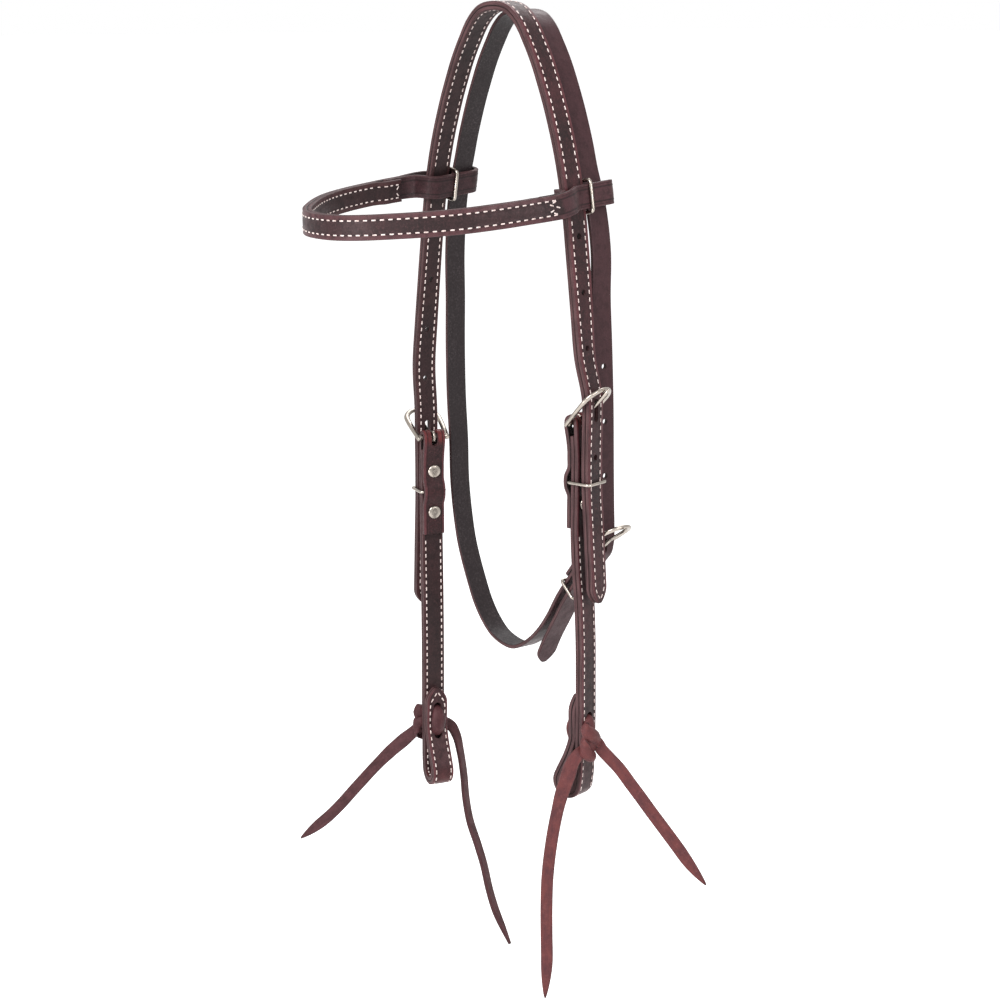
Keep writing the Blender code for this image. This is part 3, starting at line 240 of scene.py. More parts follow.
# Each tail's route, from inside its knot to its tip
LACE_ROUTES = {
    "near_tie_tail_front": [
        (0.0960, -0.0032, -0.4890), (0.0963, -0.0108, -0.4928), (0.0953, -0.0132, -0.4962),
        (0.0929, -0.0141, -0.5032), (0.0899, -0.0148, -0.5119), (0.0870, -0.0159, -0.5209),
        (0.0840, -0.0182, -0.5376), (0.0811, -0.0205, -0.5603), (0.0789, -0.0216, -0.5834),
        (0.0779, -0.0215, -0.6068), (0.0777, -0.0211, -0.6270), (0.0778, -0.0208, -0.6453),
        (0.0777, -0.0214, -0.6603), (0.0777, -0.0222, -0.6740),
    ],
    "near_tie_tail_rear": [
        (0.0960, 0.0040, -0.4850), (0.0972, 0.0066, -0.4866), (0.0992, 0.0084, -0.4908),
        (0.1028, 0.0119, -0.4963), (0.1083, 0.0168, -0.5039), (0.1146, 0.0217, -0.5142),
        (0.1206, 0.0262, -0.5237), (0.1266, 0.0305, -0.5333), (0.1320, 0.0346, -0.5419),
        (0.1371, 0.0385, -0.5501), (0.1418, 0.0422, -0.5579), (0.1465, 0.0464, -0.5667),
        (0.1511, 0.0511, -0.5754), (0.1555, 0.0559, -0.5837),
    ],
    "far_tie_tail_front": [
        (-0.0920, -0.0020, -0.5235), (-0.0937, -0.0049, -0.5247), (-0.0967, -0.0074, -0.5281),
        (-0.1014, -0.0098, -0.5329), (-0.1068, -0.0124, -0.5385), (-0.1125, -0.0149, -0.5442),
        (-0.1204, -0.0196, -0.5536), (-0.1293, -0.0242, -0.5646), (-0.1375, -0.0282, -0.5751),
        (-0.1457, -0.0322, -0.5857), (-0.1552, -0.0360, -0.5975), (-0.1655, -0.0402, -0.6091),
        (-0.1774, -0.0452, -0.6207), (-0.1905, -0.0505, -0.6328),
    ],
    "far_tie_tail_rear": [
        (-0.0905, 0.0070, -0.5225), (-0.0905, 0.0125, -0.5232), (-0.0890, 0.0168, -0.5248),
        (-0.0865, 0.0198, -0.5275), (-0.0838, 0.0218, -0.5333), (-0.0816, 0.0243, -0.5477),
        (-0.0800, 0.0261, -0.5651), (-0.0782, 0.0267, -0.5837), (-0.0750, 0.0282, -0.6019),
        (-0.0698, 0.0312, -0.6190), (-0.0645, 0.0334, -0.6357), (-0.0594, 0.0344, -0.6533),
        (-0.0534, 0.0362, -0.6699), (-0.0463, 0.0377, -0.6820), (-0.0388, 0.0385, -0.6926),
    ],
}
# How far a tail has twisted away from lying flat by its fifth point, and stays so
LACE_TURN_POINTS = 5
LACE_TURNS = {"far_tie_tail_rear": math.radians(62.0)}

# How finely straps and rounds are divided
FINE_STEP = 0.0005
STRAP_STEP = 0.004
STRAP_TURN = math.radians(6.0)
CORNER_SEGMENTS = 6
BEND_STEPS = 8
TURN_STEPS = 10
WIRE_BEVEL_SEGMENTS = 4
HEAD_SEGMENTS = 32
MERGE = 0.00001


# Routes

def eased(part):
    """A share kept between 0 and 1, and eased at both ends."""
    part = min(max(part, 0.0), 1.0)
    return part * part * (3 - 2 * part)


def arc(radius, start, turn, steps):
    """Points on a circle, from an angle through a turn."""
    angles = [start + turn * part / steps for part in range(steps + 1)]
    return [(radius * math.cos(angle), radius * math.sin(angle)) for angle in angles]


def smooth_rows(rows):
    """A smooth curve through rows of (x, y, z, ...), as closely spaced rows."""
    places = [Vector(row[:3]) for row in rows]
    lengths = [(b - a).length for a, b in zip(places, places[1:])]
    slopes = []
    for index in range(len(rows)):
        before = max(index - 1, 0)
        after = min(index, len(lengths) - 1)
        slope = []
        for channel in range(len(rows[0])):
            arrive = (rows[before + 1][channel] - rows[before][channel]) / lengths[before]
            leave = (rows[after + 1][channel] - rows[after][channel]) / lengths[after]
            total = lengths[before] + lengths[after]
            slope.append((arrive * lengths[after] + leave * lengths[before]) / total)
        slopes.append(slope)
    fine = []
    for index, span in enumerate(lengths):
        count = max(1, round(span / FINE_STEP))
        for part in range(count):
            t = part / count
            start, end = rows[index], rows[index + 1]
            row = []
            for channel in range(len(start)):
                cubic = (2 * t ** 3 - 3 * t ** 2 + 1) * start[channel]
                cubic += (3 * t ** 2 - 2 * t ** 3) * end[channel]
                cubic += (t ** 3 - 2 * t ** 2 + t) * span * slopes[index][channel]
                cubic += (t ** 3 - t ** 2) * span * slopes[index + 1][channel]
                row.append(cubic)
            fine.append(row)
    fine.append(list(rows[-1]))
    return fine


class Route:
    """A strap's centre line, with its direction across and its outward side at any distance."""

    def __init__(self, rows, across):
        fine = smooth_rows(rows)
        self.rows = fine
        self.points = [Vector(row[:3]) for row in fine]
        self.reach = [0.0]
        for a, b in zip(self.points, self.points[1:]):
            self.reach.append(self.reach[-1] + (b - a).length)
        self.length = self.reach[-1]
        last = len(self.points) - 1
        self.frames = []
        for index, point in enumerate(self.points):
            along = (self.points[min(index + 1, last)] - self.points[max(index - 1, 0)]).normalized()
            side = across(fine[index], along)
            side = (side - along * side.dot(along)).normalized()
            self.frames.append((point, along, side, along.cross(side)))

    def index_at(self, distance):
        return min(bisect.bisect_left(self.reach, distance), len(self.reach) - 1)

    def at(self, distance):
        """Point, along, across and inward at a distance, also a little past either end."""
        index = min(max(self.index_at(distance), 1), len(self.reach) - 1)
        before, after = self.frames[index - 1], self.frames[index]
        part = (distance - self.reach[index - 1]) / (self.reach[index] - self.reach[index - 1])
        return [a + (b - a) * part for a, b in zip(before, after)]

    def nearest_reach(self, place):
        best = min(range(len(self.points)), key=lambda index: (self.points[index] - place).length)
        return self.reach[best]

    def crossings(self, line, start=0.0, end=None, limit=2 * PLY):
        """Each distance at which the route passes a line, given as a point and a direction."""
        place, direction = line
        end = self.length if end is None else end
        gaps = [(point - place).cross(direction).length for point in self.points]
        found = []
        for index in range(1, len(gaps) - 1):
            close = gaps[index] < limit and gaps[index - 1] >= gaps[index] < gaps[index + 1]
            if close and start <= self.reach[index] <= end:
                found.append(self.reach[index])
        return found

    def value(self, distance, channel):
        """One of the numbers of its rows, at a distance."""
        return self.rows[self.index_at(distance)][channel]

    def bend(self, distance, reach=3 * PLY):
        """How tightly the route bends near a distance, in radians for each metre."""
        _, before, _, _ = self.at(max(distance - reach, 0.0))
        _, after, _, _ = self.at(min(distance + reach, self.length))
        return before.angle(after) / (2 * reach)

    def stations(self, start, end, step=STRAP_STEP, turn=STRAP_TURN):
        """Distances between two distances, closer together where the strap bends."""
        kept = [start]
        heading = self.frames[self.index_at(start)][1]
        for index in range(self.index_at(start) + 1, self.index_at(end)):
            along = self.frames[index][1]
            gone = self.reach[index] - kept[-1]
            if gone >= step or (along.angle(heading) >= turn and gone > FINE_STEP / 2):
                kept.append(self.reach[index])
                heading = along
        if end - kept[-1] < FINE_STEP and len(kept) > 1:
            kept.pop()
        return kept + [end]


def yawed(row, along):
    return Vector((-math.sin(row[3]), math.cos(row[3]), 0.0))


def leaned(row, along):
    return Vector((-math.sin(row[3]), 0.0, math.cos(row[3])))


def facing_lace(row, along):
    return along.cross(Matrix.Rotation(row[3], 3, "Z") @ LACE_FACING)


def lace_rows(name):
    """A tail's route, with how far it has twisted at each point."""
    turn = LACE_TURNS.get(name, 0.0)
    return [(*point, turn * min(index / LACE_TURN_POINTS, 1.0))
            for index, point in enumerate(LACE_ROUTES[name])]


def facing_out(row, along):
    """The side of a lace whose outward direction is in its row."""
    return along.cross(Vector(row[3:6]))


class Place:
    """A buckle's own directions: out from the strap, back along the heel bar, and up."""

    def __init__(self, bar, out, back, up):
        self.bar = bar
        self.out = out
        self.back = back
        self.up = up

    def at(self, out, back, up):
        return self.bar + self.out * out + self.back * back + self.up * up

    def turned(self, out, back, up):
        return self.out * out + self.back * back + self.up * up

    def tilted(self, tilt):
        """Where a buckle at its tilt reaches to, and where its face looks."""
        reach, face = (math.sin(tilt), 0.0, math.cos(tilt)), (math.cos(tilt), 0.0, -math.sin(tilt))
        return self.turned(*reach), self.turned(*face)


def side_place(sign):
    depth = NEAR_BAR_DEPTH if sign > 0 else FAR_BAR_DEPTH
    out = Vector((sign * math.cos(CHEEK_YAW), math.sin(CHEEK_YAW), 0.0))
    back = Vector((-sign * math.sin(CHEEK_YAW), math.cos(CHEEK_YAW), 0.0))
    return Place(Vector((sign * BAR_HALF_SPAN, 0.0, -depth)), out, back, Vector((0.0, 0.0, 1.0)))


def tongue_line(place, tilt):
    """Where the straight part of a buckle's tongue runs, as a point and a direction."""
    reach, face = place.tilted(tilt)
    return place.bar + face * (BAR_RADIUS + GAP + TONGUE_RADIUS), reach


def crown_half(sign):
    """Rows from a billet's tip up to the top of the arch."""
    place = side_place(sign)
    drop = NEAR_BILLET_DROP if sign > 0 else FAR_BILLET_DROP
    rows = []
    for out, up in BILLET_SHARES:
        point = place.at(out * BILLET_STANDOFF, 0.0, up * drop)
        rows.append((*point, sign * CHEEK_YAW))
    twist_end = place.bar.z + TWIST_END_ABOVE_BAR
    for half, depth in reversed(CROWN_ARCH_SHARES):
        level = CROWN_APEX - depth * CROWN_REACH
        if level < place.bar.z + ARCH_ABOVE_BAR:
            continue
        twist = eased((-TWIST_START_DEPTH - level) / (-TWIST_START_DEPTH - twist_end))
        rows.append((sign * half * CROWN_HALF_WIDTH, 0.0, level, sign * CHEEK_YAW * twist))
    return rows


def crown_route():
    near, far = crown_half(1.0), crown_half(-1.0)
    return Route(near + list(reversed(far))[1:], yawed)


def cheek_route(sign):
    """The outer layer: fold-back, over the heel bar, down the front and round the eye."""
    place = side_place(sign)
    column = 1 if sign > 0 else 2
    back_out = CHEEK_FRONT_OUT - 2 * LAYER_STEP
    bulge = back_out - KEEPER_BULGE
    middle = (LOWER_SCREW_DROP + UPPER_SCREW_DROP) / 2
    half_bulge = (LOWER_SCREW_DROP - UPPER_SCREW_DROP) / 2
    flat = UPPER_SCREW_DROP - SCREW_HEAD_RADIUS - GAP
    rows = [(back_out, -FOLD_BACK_DROP), (back_out, -LOWER_SCREW_DROP)]
    starts, crests = (half_bulge * share for share in KEEPER_BULGE_SHARES)
    rows += [(back_out, -middle - starts), (bulge, -middle - crests)]
    rows += [(bulge, -middle + crests), (back_out, -middle + starts)]
    back_spread, front_spread = (PLY * share for share in FOLD_SPREAD_SHARES)
    spread_drop = flat * FOLD_SPREAD_HEIGHT_SHARE
    rows += [(back_out, -UPPER_SCREW_DROP), (back_out, -flat), (back_out - back_spread, -spread_drop)]
    rows += arc(FOLD_RADIUS, math.pi, -math.pi, BEND_STEPS)
    rows += [(CHEEK_FRONT_OUT - front_spread, -spread_drop), (CHEEK_FRONT_OUT, -flat)]
    rows += [(CHEEK_FRONT_OUT, -LOWER_SCREW_DROP), (CHEEK_FRONT_OUT, -FOLD_BACK_DROP)]
    for share in CHEEK_BOW_SHARES[1:]:
        rows.append((CHEEK_FRONT_OUT + share[column] * CHEEK_BOW, -share[0] * CHEEK_DROP))
    outer_radius = EYE_RADIUS + 2 * PLY + GAP - PLY / 2
    eye_edge = CHEEK_FRONT_OUT + EYE_BOW_SHARES[column - 1] * CHEEK_BOW
    eye_out = eye_edge - outer_radius
    eye_drop = CHEEK_DROP - outer_radius - PLY / 2
    rows += [(eye_out + out, up - eye_drop)
             for out, up in arc(outer_radius, 0.0, -math.pi - TURN_LEAN, TURN_STEPS)]
    joined = CHEEK_FRONT_OUT + CHEEK_BOW_SHARES[-1][column] * CHEEK_BOW - 3 * LAYER_STEP
    last = rows[-1]
    for share in TURN_STRAIGHT_SHARES:
        rows.append((last[0] + (joined - last[0]) * share, last[1] + (-TURN_JOIN_DROP - last[1]) * share))
    upper = CHEEK_FRONT_OUT + CHEEK_BOW_SHARES[-2][column] * CHEEK_BOW - 3 * LAYER_STEP
    rows.append((joined + GAP, -TURN_JOIN_DROP + PLY))
    rows += [(upper, -UPPER_LACE_HOLE_DROP), (upper, -TURN_END_DROP)]
    return Route([(*place.at(out, 0.0, up), sign * CHEEK_YAW) for out, up in rows], yawed)


def faded(reach, start, length):
    return 1.0 - min(max((reach - start) / length, 0.0), 1.0)


def band_row(sign, half, reach):
    """A row of the browband: sideways place, place forwards, height, and lean."""
    forward = -reach * BAND_REACH
    level = -BAND_DEPTH + BAND_SLOPE * forward
    lean = BAND_LEAN * faded(reach, *BAND_LEAN_FADE_SHARES)
    aside = half * BAND_HALF_WIDTH
    level += (aside - LOOP_MIDDLE) * math.tan(BAND_LEAN) * faded(reach, *LOOP_LEVEL_FADE_SHARES)
    return (sign * aside, forward, level, sign * lean)


def band_half(sign):
    """Rows from the cut end, round the loop, to the row before the middle of the forehead."""
    rows = [band_row(sign, *share) for share in BAND_RETURN_SHARES]
    loop_radius = (LOOP_OUTER - LOOP_INNER) / 2
    for back in (0.0, PLY, LOOP_BACK - PLY):
        rows.append(band_row(sign, LOOP_INNER / BAND_HALF_WIDTH, -back / BAND_REACH))
    for aside, back in arc(loop_radius, math.pi, -math.pi, BEND_STEPS):
        half = (LOOP_MIDDLE + aside) / BAND_HALF_WIDTH
        rows.append(band_row(sign, half, -(LOOP_BACK + back) / BAND_REACH))
    for back in (LOOP_BACK - PLY, 3 * PLY, 2 * PLY):
        rows.append(band_row(sign, LOOP_OUTER / BAND_HALF_WIDTH, -back / BAND_REACH))
    return rows + [band_row(sign, *share) for share in BAND_SHARES[:-1]]


def band_route():
    near, far = band_half(1.0), band_half(-1.0)
    return Route(near + [band_row(0.0, *BAND_SHARES[-1])] + list(reversed(far)), leaned)


def band_distance(route, share):
    """How far along the route the near outer run first reaches a share of the browband's reach."""
    turned = False
    for index, point in enumerate(route.points):
        if point.y > LOOP_BACK:
            turned = True
        if turned and point.y <= -share * BAND_REACH:
            return route.reach[index]
    return 0.0


def throat_row(half, depth):
    level = -depth * THROAT_DROP
    sway = eased((-level - THROAT_SWAY_START) / THROAT_SWAY_LENGTH)
    back = THROAT_TOP_BACK + (THROAT_LOW_BACK - THROAT_TOP_BACK) * sway
    return (half * THROAT_HALF_WIDTH, back, level, 0.0)


def throat_place():
    out = Vector((math.cos(THROAT_END_TILT), 0.0, -math.sin(THROAT_END_TILT)))
    up = Vector((math.sin(THROAT_END_TILT), 0.0, math.cos(THROAT_END_TILT)))
    bar = Vector((THROAT_BAR_OUT, THROAT_LOW_BACK, -THROAT_BAR_DEPTH))
    return Place(bar, out, Vector((0.0, 1.0, 0.0)), up)


def throat_route():
    place = throat_place()
    rows = [throat_row(*share) for share in THROAT_NEAR_SHARES]
    arch = CROWN_ARCH_SHARES[:THROAT_POLL_ROWS]
    over = []
    for index, (half, depth) in enumerate(arch):
        here = Vector((half * CROWN_HALF_WIDTH, -depth * CROWN_REACH))
        after = arch[min(index + 1, len(arch) - 1)]
        before = arch[max(index - 1, 0)]
        run = Vector(((after[0] - before[0]) * CROWN_HALF_WIDTH, -(after[1] - before[1]) * CROWN_REACH))
        if index == 0:
            run = Vector((1.0, 0.0))
        run.normalize()
        inset = here + Vector((run.y, -run.x)) * THROAT_TOP_INSET
        over.append((inset.x, THROAT_TOP_BACK, CROWN_APEX + inset.y, 0.0))
    rows += list(reversed(over))
    rows += [(-row[0], row[1], row[2], row[3]) for row in over[1:]]
    rows += [throat_row(*share) for share in THROAT_FAR_SHARES]
    front = LAYER_STEP / 2
    flat = THROAT_SCREW_DROP - SCREW_HEAD_RADIUS - GAP
    ends = [(front, -THROAT_KEEPER_DROP), (front, -THROAT_FOLD_BACK + PLY), (front, -THROAT_SCREW_DROP)]
    ends += [(front, -flat), (front + PLY / 2, -flat / 2)]
    ends += arc(FOLD_RADIUS, 0.0, math.pi, BEND_STEPS)
    ends += [(-front - PLY / 2, -flat / 2), (-front, -flat)]
    ends += [(-front, -THROAT_SCREW_DROP), (-front, -THROAT_FOLD_BACK)]
    rows += [(*place.at(out, 0.0, up), 0.0) for out, up in ends]
    return Route(rows, yawed)


def tip_width(distance, length, blunt_share=TIP_BLUNT_SHARE):
    """How much of its width a strap has at a distance from a rounded, pointed end."""
    if distance >= length:
        return 1.0
    part = max(distance, 0.0) / length
    return blunt_share + (1.0 - blunt_share) * math.sin(part * math.pi / 2) ** TIP_FULLNESS


# Stitching: half the distance between the two rows of each strap, the stitches, and the thread
CROWN_ROW = 0.0051
CHEEK_ROW = 0.0058
BAND_ROW = 0.0046
STITCH_PITCH = 0.0050
BAND_STITCH_PITCH = 0.0054
STITCH_LENGTH = 0.0031
THREAD_RADIUS = 0.00056
STITCH_LIFT = 0.00018
PRESSED_DEPTH = 0.00016
PRESSED_REACH = STRAP_WIDTH / 2 + 0.003
ROW_START_DROP = 0.076
TIP_SEAM_INSET = 0.0027
THREAD_SEGMENTS = 7
THREAD_RINGS = 5

# Surfaces, edges and holes of the straps and laces
SEAM_WIDTH = 0.0009
SEAM_DEPTH = 0.00028
PAD_HEIGHT = 0.00022
RIM = 0.00055
LACE_RIM = 0.00095
LACE_RIM_SEGMENTS = 4
RIM_SEGMENTS = 3
EDGE_ANGLE = math.radians(50.0)
SMOOTH_ANGLE = math.radians(42.0)
HOLE_SIDES = 28
PLAIN_COLUMNS = (-1.0, -0.84, -0.6, -0.3, 0.0, 0.3, 0.6, 0.84, 1.0)
LACE_COLUMNS = (-1.0, -0.5, 0.0, 0.5, 1.0)
# Places through a layer, from -1 at its back to 1 at its front: from where it counts as its face,
# the change to the back's looks, and the dark line beside the rim
FACE_SHARE = 0.9
BACK_FACE = (-0.6, -0.9)
DARK_LINE = 0.82
SLOT_ROOM = 0.0020

# Buckles and screws
FRAME_SIDE_STEPS = 8
FRAME_BULGE = 0.15
THROAT_FRAME_BULGE = 0.04
FRAME_ROUNDING = 1.12
FRAME_ARC_SEGMENTS = 56
FRAME_RING_SEGMENTS = 20
# How far each rounded end of a frame's sides narrows and sinks, ring by ring
FRAME_END_SHARES = ((0.12, 0.6), (0.3, 1.0))
BAR_SEGMENTS = 24
TONGUE_TIP_SHARES = (0.98, 0.92, 0.82, 0.68, 0.45)
TONGUE_STEPS = 5 * TURN_STEPS
SCREW_DIMPLE_SHARE = 0.4
# A screw's dimple, from its middle out: share of its radius, share of its depth
DIMPLE_SHARES = ((0.0, 1.0), (0.7, 0.8), (1.0, 0.25))


# Making pieces

def deselect():
    bpy.ops.object.select_all(action="DESELECT")


def link(name, data):
    item = bpy.data.objects.new(name, data)
    bpy.context.scene.collection.objects.link(item)
    return item


def only(item):
    deselect()
    item.select_set(True)
    bpy.context.view_layer.objects.active = item
    return item


def apply(item, kind, **settings):
    only(item)
    modifier = item.modifiers.new(kind.lower(), kind)
    for name, value in settings.items():
        setattr(modifier, name, value)
    bpy.ops.object.modifier_apply(modifier=modifier.name)


def settle(item):
    """Puts a piece's place in its mesh, with its faces outwards."""
    only(item)
    bpy.ops.object.transform_apply(location=True, rotation=True, scale=True)
    bpy.ops.object.mode_set(mode="EDIT")
    bpy.ops.mesh.select_all(action="SELECT")
    bpy.ops.mesh.remove_doubles(threshold=MERGE)
    bpy.ops.mesh.normals_make_consistent(inside=False)
    bpy.ops.object.mode_set(mode="OBJECT")
    return item


def dress(item, name, material, body, slot, *replaced):
    """Names a finished piece, and gives it its material and body; its slot is not used."""
    only(item)
    bpy.ops.object.shade_smooth_by_angle(angle=SMOOTH_ANGLE)
    item.name = name
    item.data.name = name
    item.data.materials.clear()
    item.data.materials.append(material)
    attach(item, body)
    if replaced:
        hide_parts(*replaced)
    return item


def join(items):
    only(items[0])
    for item in items:
        item.select_set(True)
    if len(items) > 1:
        bpy.ops.object.join()
    return bpy.context.view_layer.objects.active


# Leather, first cut flat and then laid along its route

def seam_columns(row, half):
    """Where the columns of a strap with two sewn rows stand, as shares of its half width."""
    step = SEAM_WIDTH / half
    share = row / half
    right = (share * 0.5, share - step, share, share + step, 1.0)
    return tuple(-column for column in reversed(right)) + (0.0,) + right


class Shape:
    """A strap's flat outline: its ends, its half width and its pointed or swallow-tailed ends."""

    def __init__(self, start, end, half=STRAP_WIDTH / 2, start_tip=0.0, end_tip=0.0, blunt=TIP_BLUNT_SHARE,
                 fishtail=0.0, swell=None):
        self.start = start
        self.end = end
        self.half = half
        self.start_tip = start_tip
        self.end_tip = end_tip
        self.blunt = blunt
        self.fishtail = fishtail
        self.swell = swell

    def half_at(self, distance):
        half = self.half
        if self.start_tip:
            half *= tip_width(distance - self.start, self.start_tip, self.blunt)
        if self.end_tip:
            half *= tip_width(self.end - distance, self.end_tip, self.blunt)
        if self.swell:
            half *= self.swell(distance)
        return half

    def notched(self, distance, share):
        """A place along the strap, moved in where the end is cut as a swallow tail."""
        depth = self.fishtail * (1.0 - abs(share))
        reach = 3 * self.fishtail
        if depth and distance - self.start < reach:
            return distance + depth * (1.0 - (distance - self.start) / reach)
        if depth and self.end - distance < reach:
            return distance - depth * (1.0 - (self.end - distance) / reach)
        return distance

    def stations(self, route):
        kept = route.stations(self.start, self.end)
        for share in TIP_STATION_SHARES:
            if self.start_tip:
                kept.append(self.start + self.start_tip * share)
            if self.end_tip:
                kept.append(self.end - self.end_tip * share)
        spaced = []
        for distance in sorted(kept):
            if not spaced or distance - spaced[-1] > FINE_STEP or distance == self.end:
                spaced.append(distance)
        return spaced


def cut_flat(route, shape, columns=PLAIN_COLUMNS, thickness=PLY, rim=RIM, segments=RIM_SEGMENTS, holes=()):
    """A piece of leather as it lies flat: X is the distance along it, Y the place across, Z its thickness."""
    stations = shape.stations(route)
    deselect()
    bpy.ops.mesh.primitive_grid_add(
        x_subdivisions=len(stations) - 1, y_subdivisions=len(columns) - 1, size=1.0)
    item = bpy.context.object
    for vert in item.data.vertices:
        distance = stations[round((vert.co.x + 0.5) * (len(stations) - 1))]
        share = columns[round((vert.co.y + 0.5) * (len(columns) - 1))]
        vert.co = (shape.notched(distance, share), share * shape.half_at(distance), 0.0)
    apply(item, "SOLIDIFY", thickness=thickness, offset=0.0)
    apply(item, "BEVEL", width=rim, segments=segments, limit_method="ANGLE", angle_limit=EDGE_ANGLE,
          use_clamp_overlap=False)
    if holes:
        cutters = []
        for distance, radius, half_length in holes:
            deselect()
            bpy.ops.mesh.primitive_cylinder_add(
                vertices=HOLE_SIDES, radius=radius, depth=4 * thickness, location=(distance, 0.0, 0.0))
            cutter = bpy.context.object
            for vert in cutter.data.vertices:
                vert.co.x += half_length if vert.co.x > 0 else -half_length
            cutters.append(cutter)
        cutter = join(cutters)
        apply(item, "BOOLEAN", operation="DIFFERENCE", solver="EXACT", object=cutter)
        bpy.data.objects.remove(cutter, do_unlink=True)
    return item


def relief(place, row, half):
    """How much a sewn strap rises between its rows and sinks along them."""
    gap = abs(abs(place) - row) / SEAM_WIDTH
    sunk = SEAM_DEPTH * max(0.0, 1.0 - gap)
    if abs(place) < row:
        return PAD_HEIGHT * (1.0 - (place / row) ** 2) - sunk
    return -PAD_HEIGHT * ((abs(place) - row) / (half - row)) ** 2 / 2 - sunk


def lay(item, route, shape, offset, facing, thickness=PLY, row=0.0, cup=0.0):
    """Lays a flat piece along its route, and keeps its flat place for its material."""
    mesh = item.data
    flat_places, bends = [], []
    for vert in mesh.vertices:
        distance, place, height = vert.co
        scale = shape.half_at(distance) / shape.half
        side = 2 * height / thickness
        if row and abs(side) > FACE_SHARE:
            height += math.copysign(relief(place / scale, row, shape.half), side)
        height -= cup * (place / shape.half) ** 2
        point, _, across, inward = route.at(distance)
        shift = offset(distance) if callable(offset) else offset
        vert.co = point + across * place + inward * (shift + facing * height)
        flat_places.extend((distance, place / scale, side))
        bends.append(route.bend(distance))
    if facing < 0:
        mesh.flip_normals()
    attribute = mesh.attributes.new("strap_place", "FLOAT_VECTOR", "POINT")
    attribute.data.foreach_set("vector", flat_places)
    attribute = mesh.attributes.new("bend", "FLOAT", "POINT")
    attribute.data.foreach_set("value", bends)
    return item


def seam_lines(shape, row, start=None, end=None):
    """Two sewn rows along a strap, drawn together where its end is pointed."""
    first = shape.start + TIP_SEAM_INSET if start is None else start
    last = shape.end - TIP_SEAM_INSET if end is None else end
    lines = []
    for side in (1.0, -1.0):
        line = []
        count = round((last - first) / STRAP_STEP)
        for part in range(count + 1):
            distance = first + (last - first) * part / count
            pull = 1.0
            if shape.start_tip and start is None:
                pull *= tip_width(distance - first, shape.start_tip, 0.0)
            if shape.end_tip and end is None:
                pull *= tip_width(last - distance, shape.end_tip, 0.0)
            line.append(Vector((distance, side * row * pull, 0.0)))
        lines.append(line)
    return lines


def stitch_spots(line, pitch):
    """The middle and direction of each stitch along a drawn line."""
    lengths = [(b - a).length for a, b in zip(line, line[1:])]
    total = sum(lengths)
    count = max(1, round(total / pitch))
    spots = []
    index, passed = 0, 0.0
    for number in range(count):
        wanted = (number + 0.5) * total / count
        while index < len(lengths) - 1 and passed + lengths[index] < wanted:
            passed += lengths[index]
            index += 1
        part = (wanted - passed) / lengths[index]
        a, b = line[index], line[index + 1]
        spots.append((a + (b - a) * part, (b - a).normalized()))
    return spots


def sew(name, seams, material, body):
    """Stitches along seams, each given as route, lines, pitch, height over the route, and facing."""
    deselect()
    bpy.ops.mesh.primitive_uv_sphere_add(
        segments=THREAD_SEGMENTS, ring_count=THREAD_RINGS, radius=THREAD_RADIUS)
    seed = bpy.context.object
    reach = STITCH_LENGTH / 2 - THREAD_RADIUS
    corners = []
    for vert in seed.data.vertices:
        x, y, z = vert.co.z, vert.co.x, vert.co.y
        corners.append(Vector((x + math.copysign(reach, x) if abs(x) > MERGE else x, y, z)))
    faces = [tuple(face.vertices) for face in seed.data.polygons]
    bpy.data.objects.remove(seed, do_unlink=True)
    points, polygons = [], []
    for route, lines, pitch, height, facing in seams:
        for line in lines:
            for centre, along in stitch_spots(line, pitch):
                base = len(points)
                across = Vector((-along.y, along.x, 0.0))
                for corner in corners:
                    flat = centre + along * corner.x + across * corner.y
                    point, _, side, inward = route.at(flat.x)
                    lift = height(flat.x) if callable(height) else height
                    points.append(point + side * flat.y + inward * (lift + facing * corner.z))
                order = faces if facing > 0 else [tuple(reversed(face)) for face in faces]
                polygons.extend(tuple(base + index for index in face) for face in order)
    mesh = bpy.data.meshes.new(name)
    mesh.from_pydata(points, [], polygons)
    item = link(name, mesh)
    return dress(item, name, material, body, "oxblood_outer")


# Metal

def swept(points, radius, cyclic=False, radii=None):
    """A round wire along its points."""
    data = bpy.data.curves.new("wire", "CURVE")
    data.dimensions = "3D"
    data.bevel_depth = radius
    data.bevel_resolution = WIRE_BEVEL_SEGMENTS
    data.use_fill_caps = not cyclic
    spline = data.splines.new("POLY")
    spline.points.add(len(points) - 1)
    for index, (target, place) in enumerate(zip(spline.points, points)):
        target.co = (*place, 1.0)
        target.radius = 1.0 if radii is None else radii[index]
    spline.use_cyclic_u = cyclic
    item = link("wire", data)
    only(item)
    bpy.ops.object.convert(target="MESH")
    return settle(bpy.context.object)


def rounded_rectangle(centre, side, up, half_side, half_up, corner):
    """The centre line of a wire loop with rounded corners."""
    points = []
    for quarter in range(4):
        sign_side = 1.0 if quarter in (0, 3) else -1.0
        sign_up = 1.0 if quarter in (0, 1) else -1.0
        middle = centre + side * sign_side * (half_side - corner) + up * sign_up * (half_up - corner)
        points += [middle + side * x + up * y
                   for x, y in arc(corner, quarter * math.pi / 2, math.pi / 2, CORNER_SEGMENTS)]
    return points


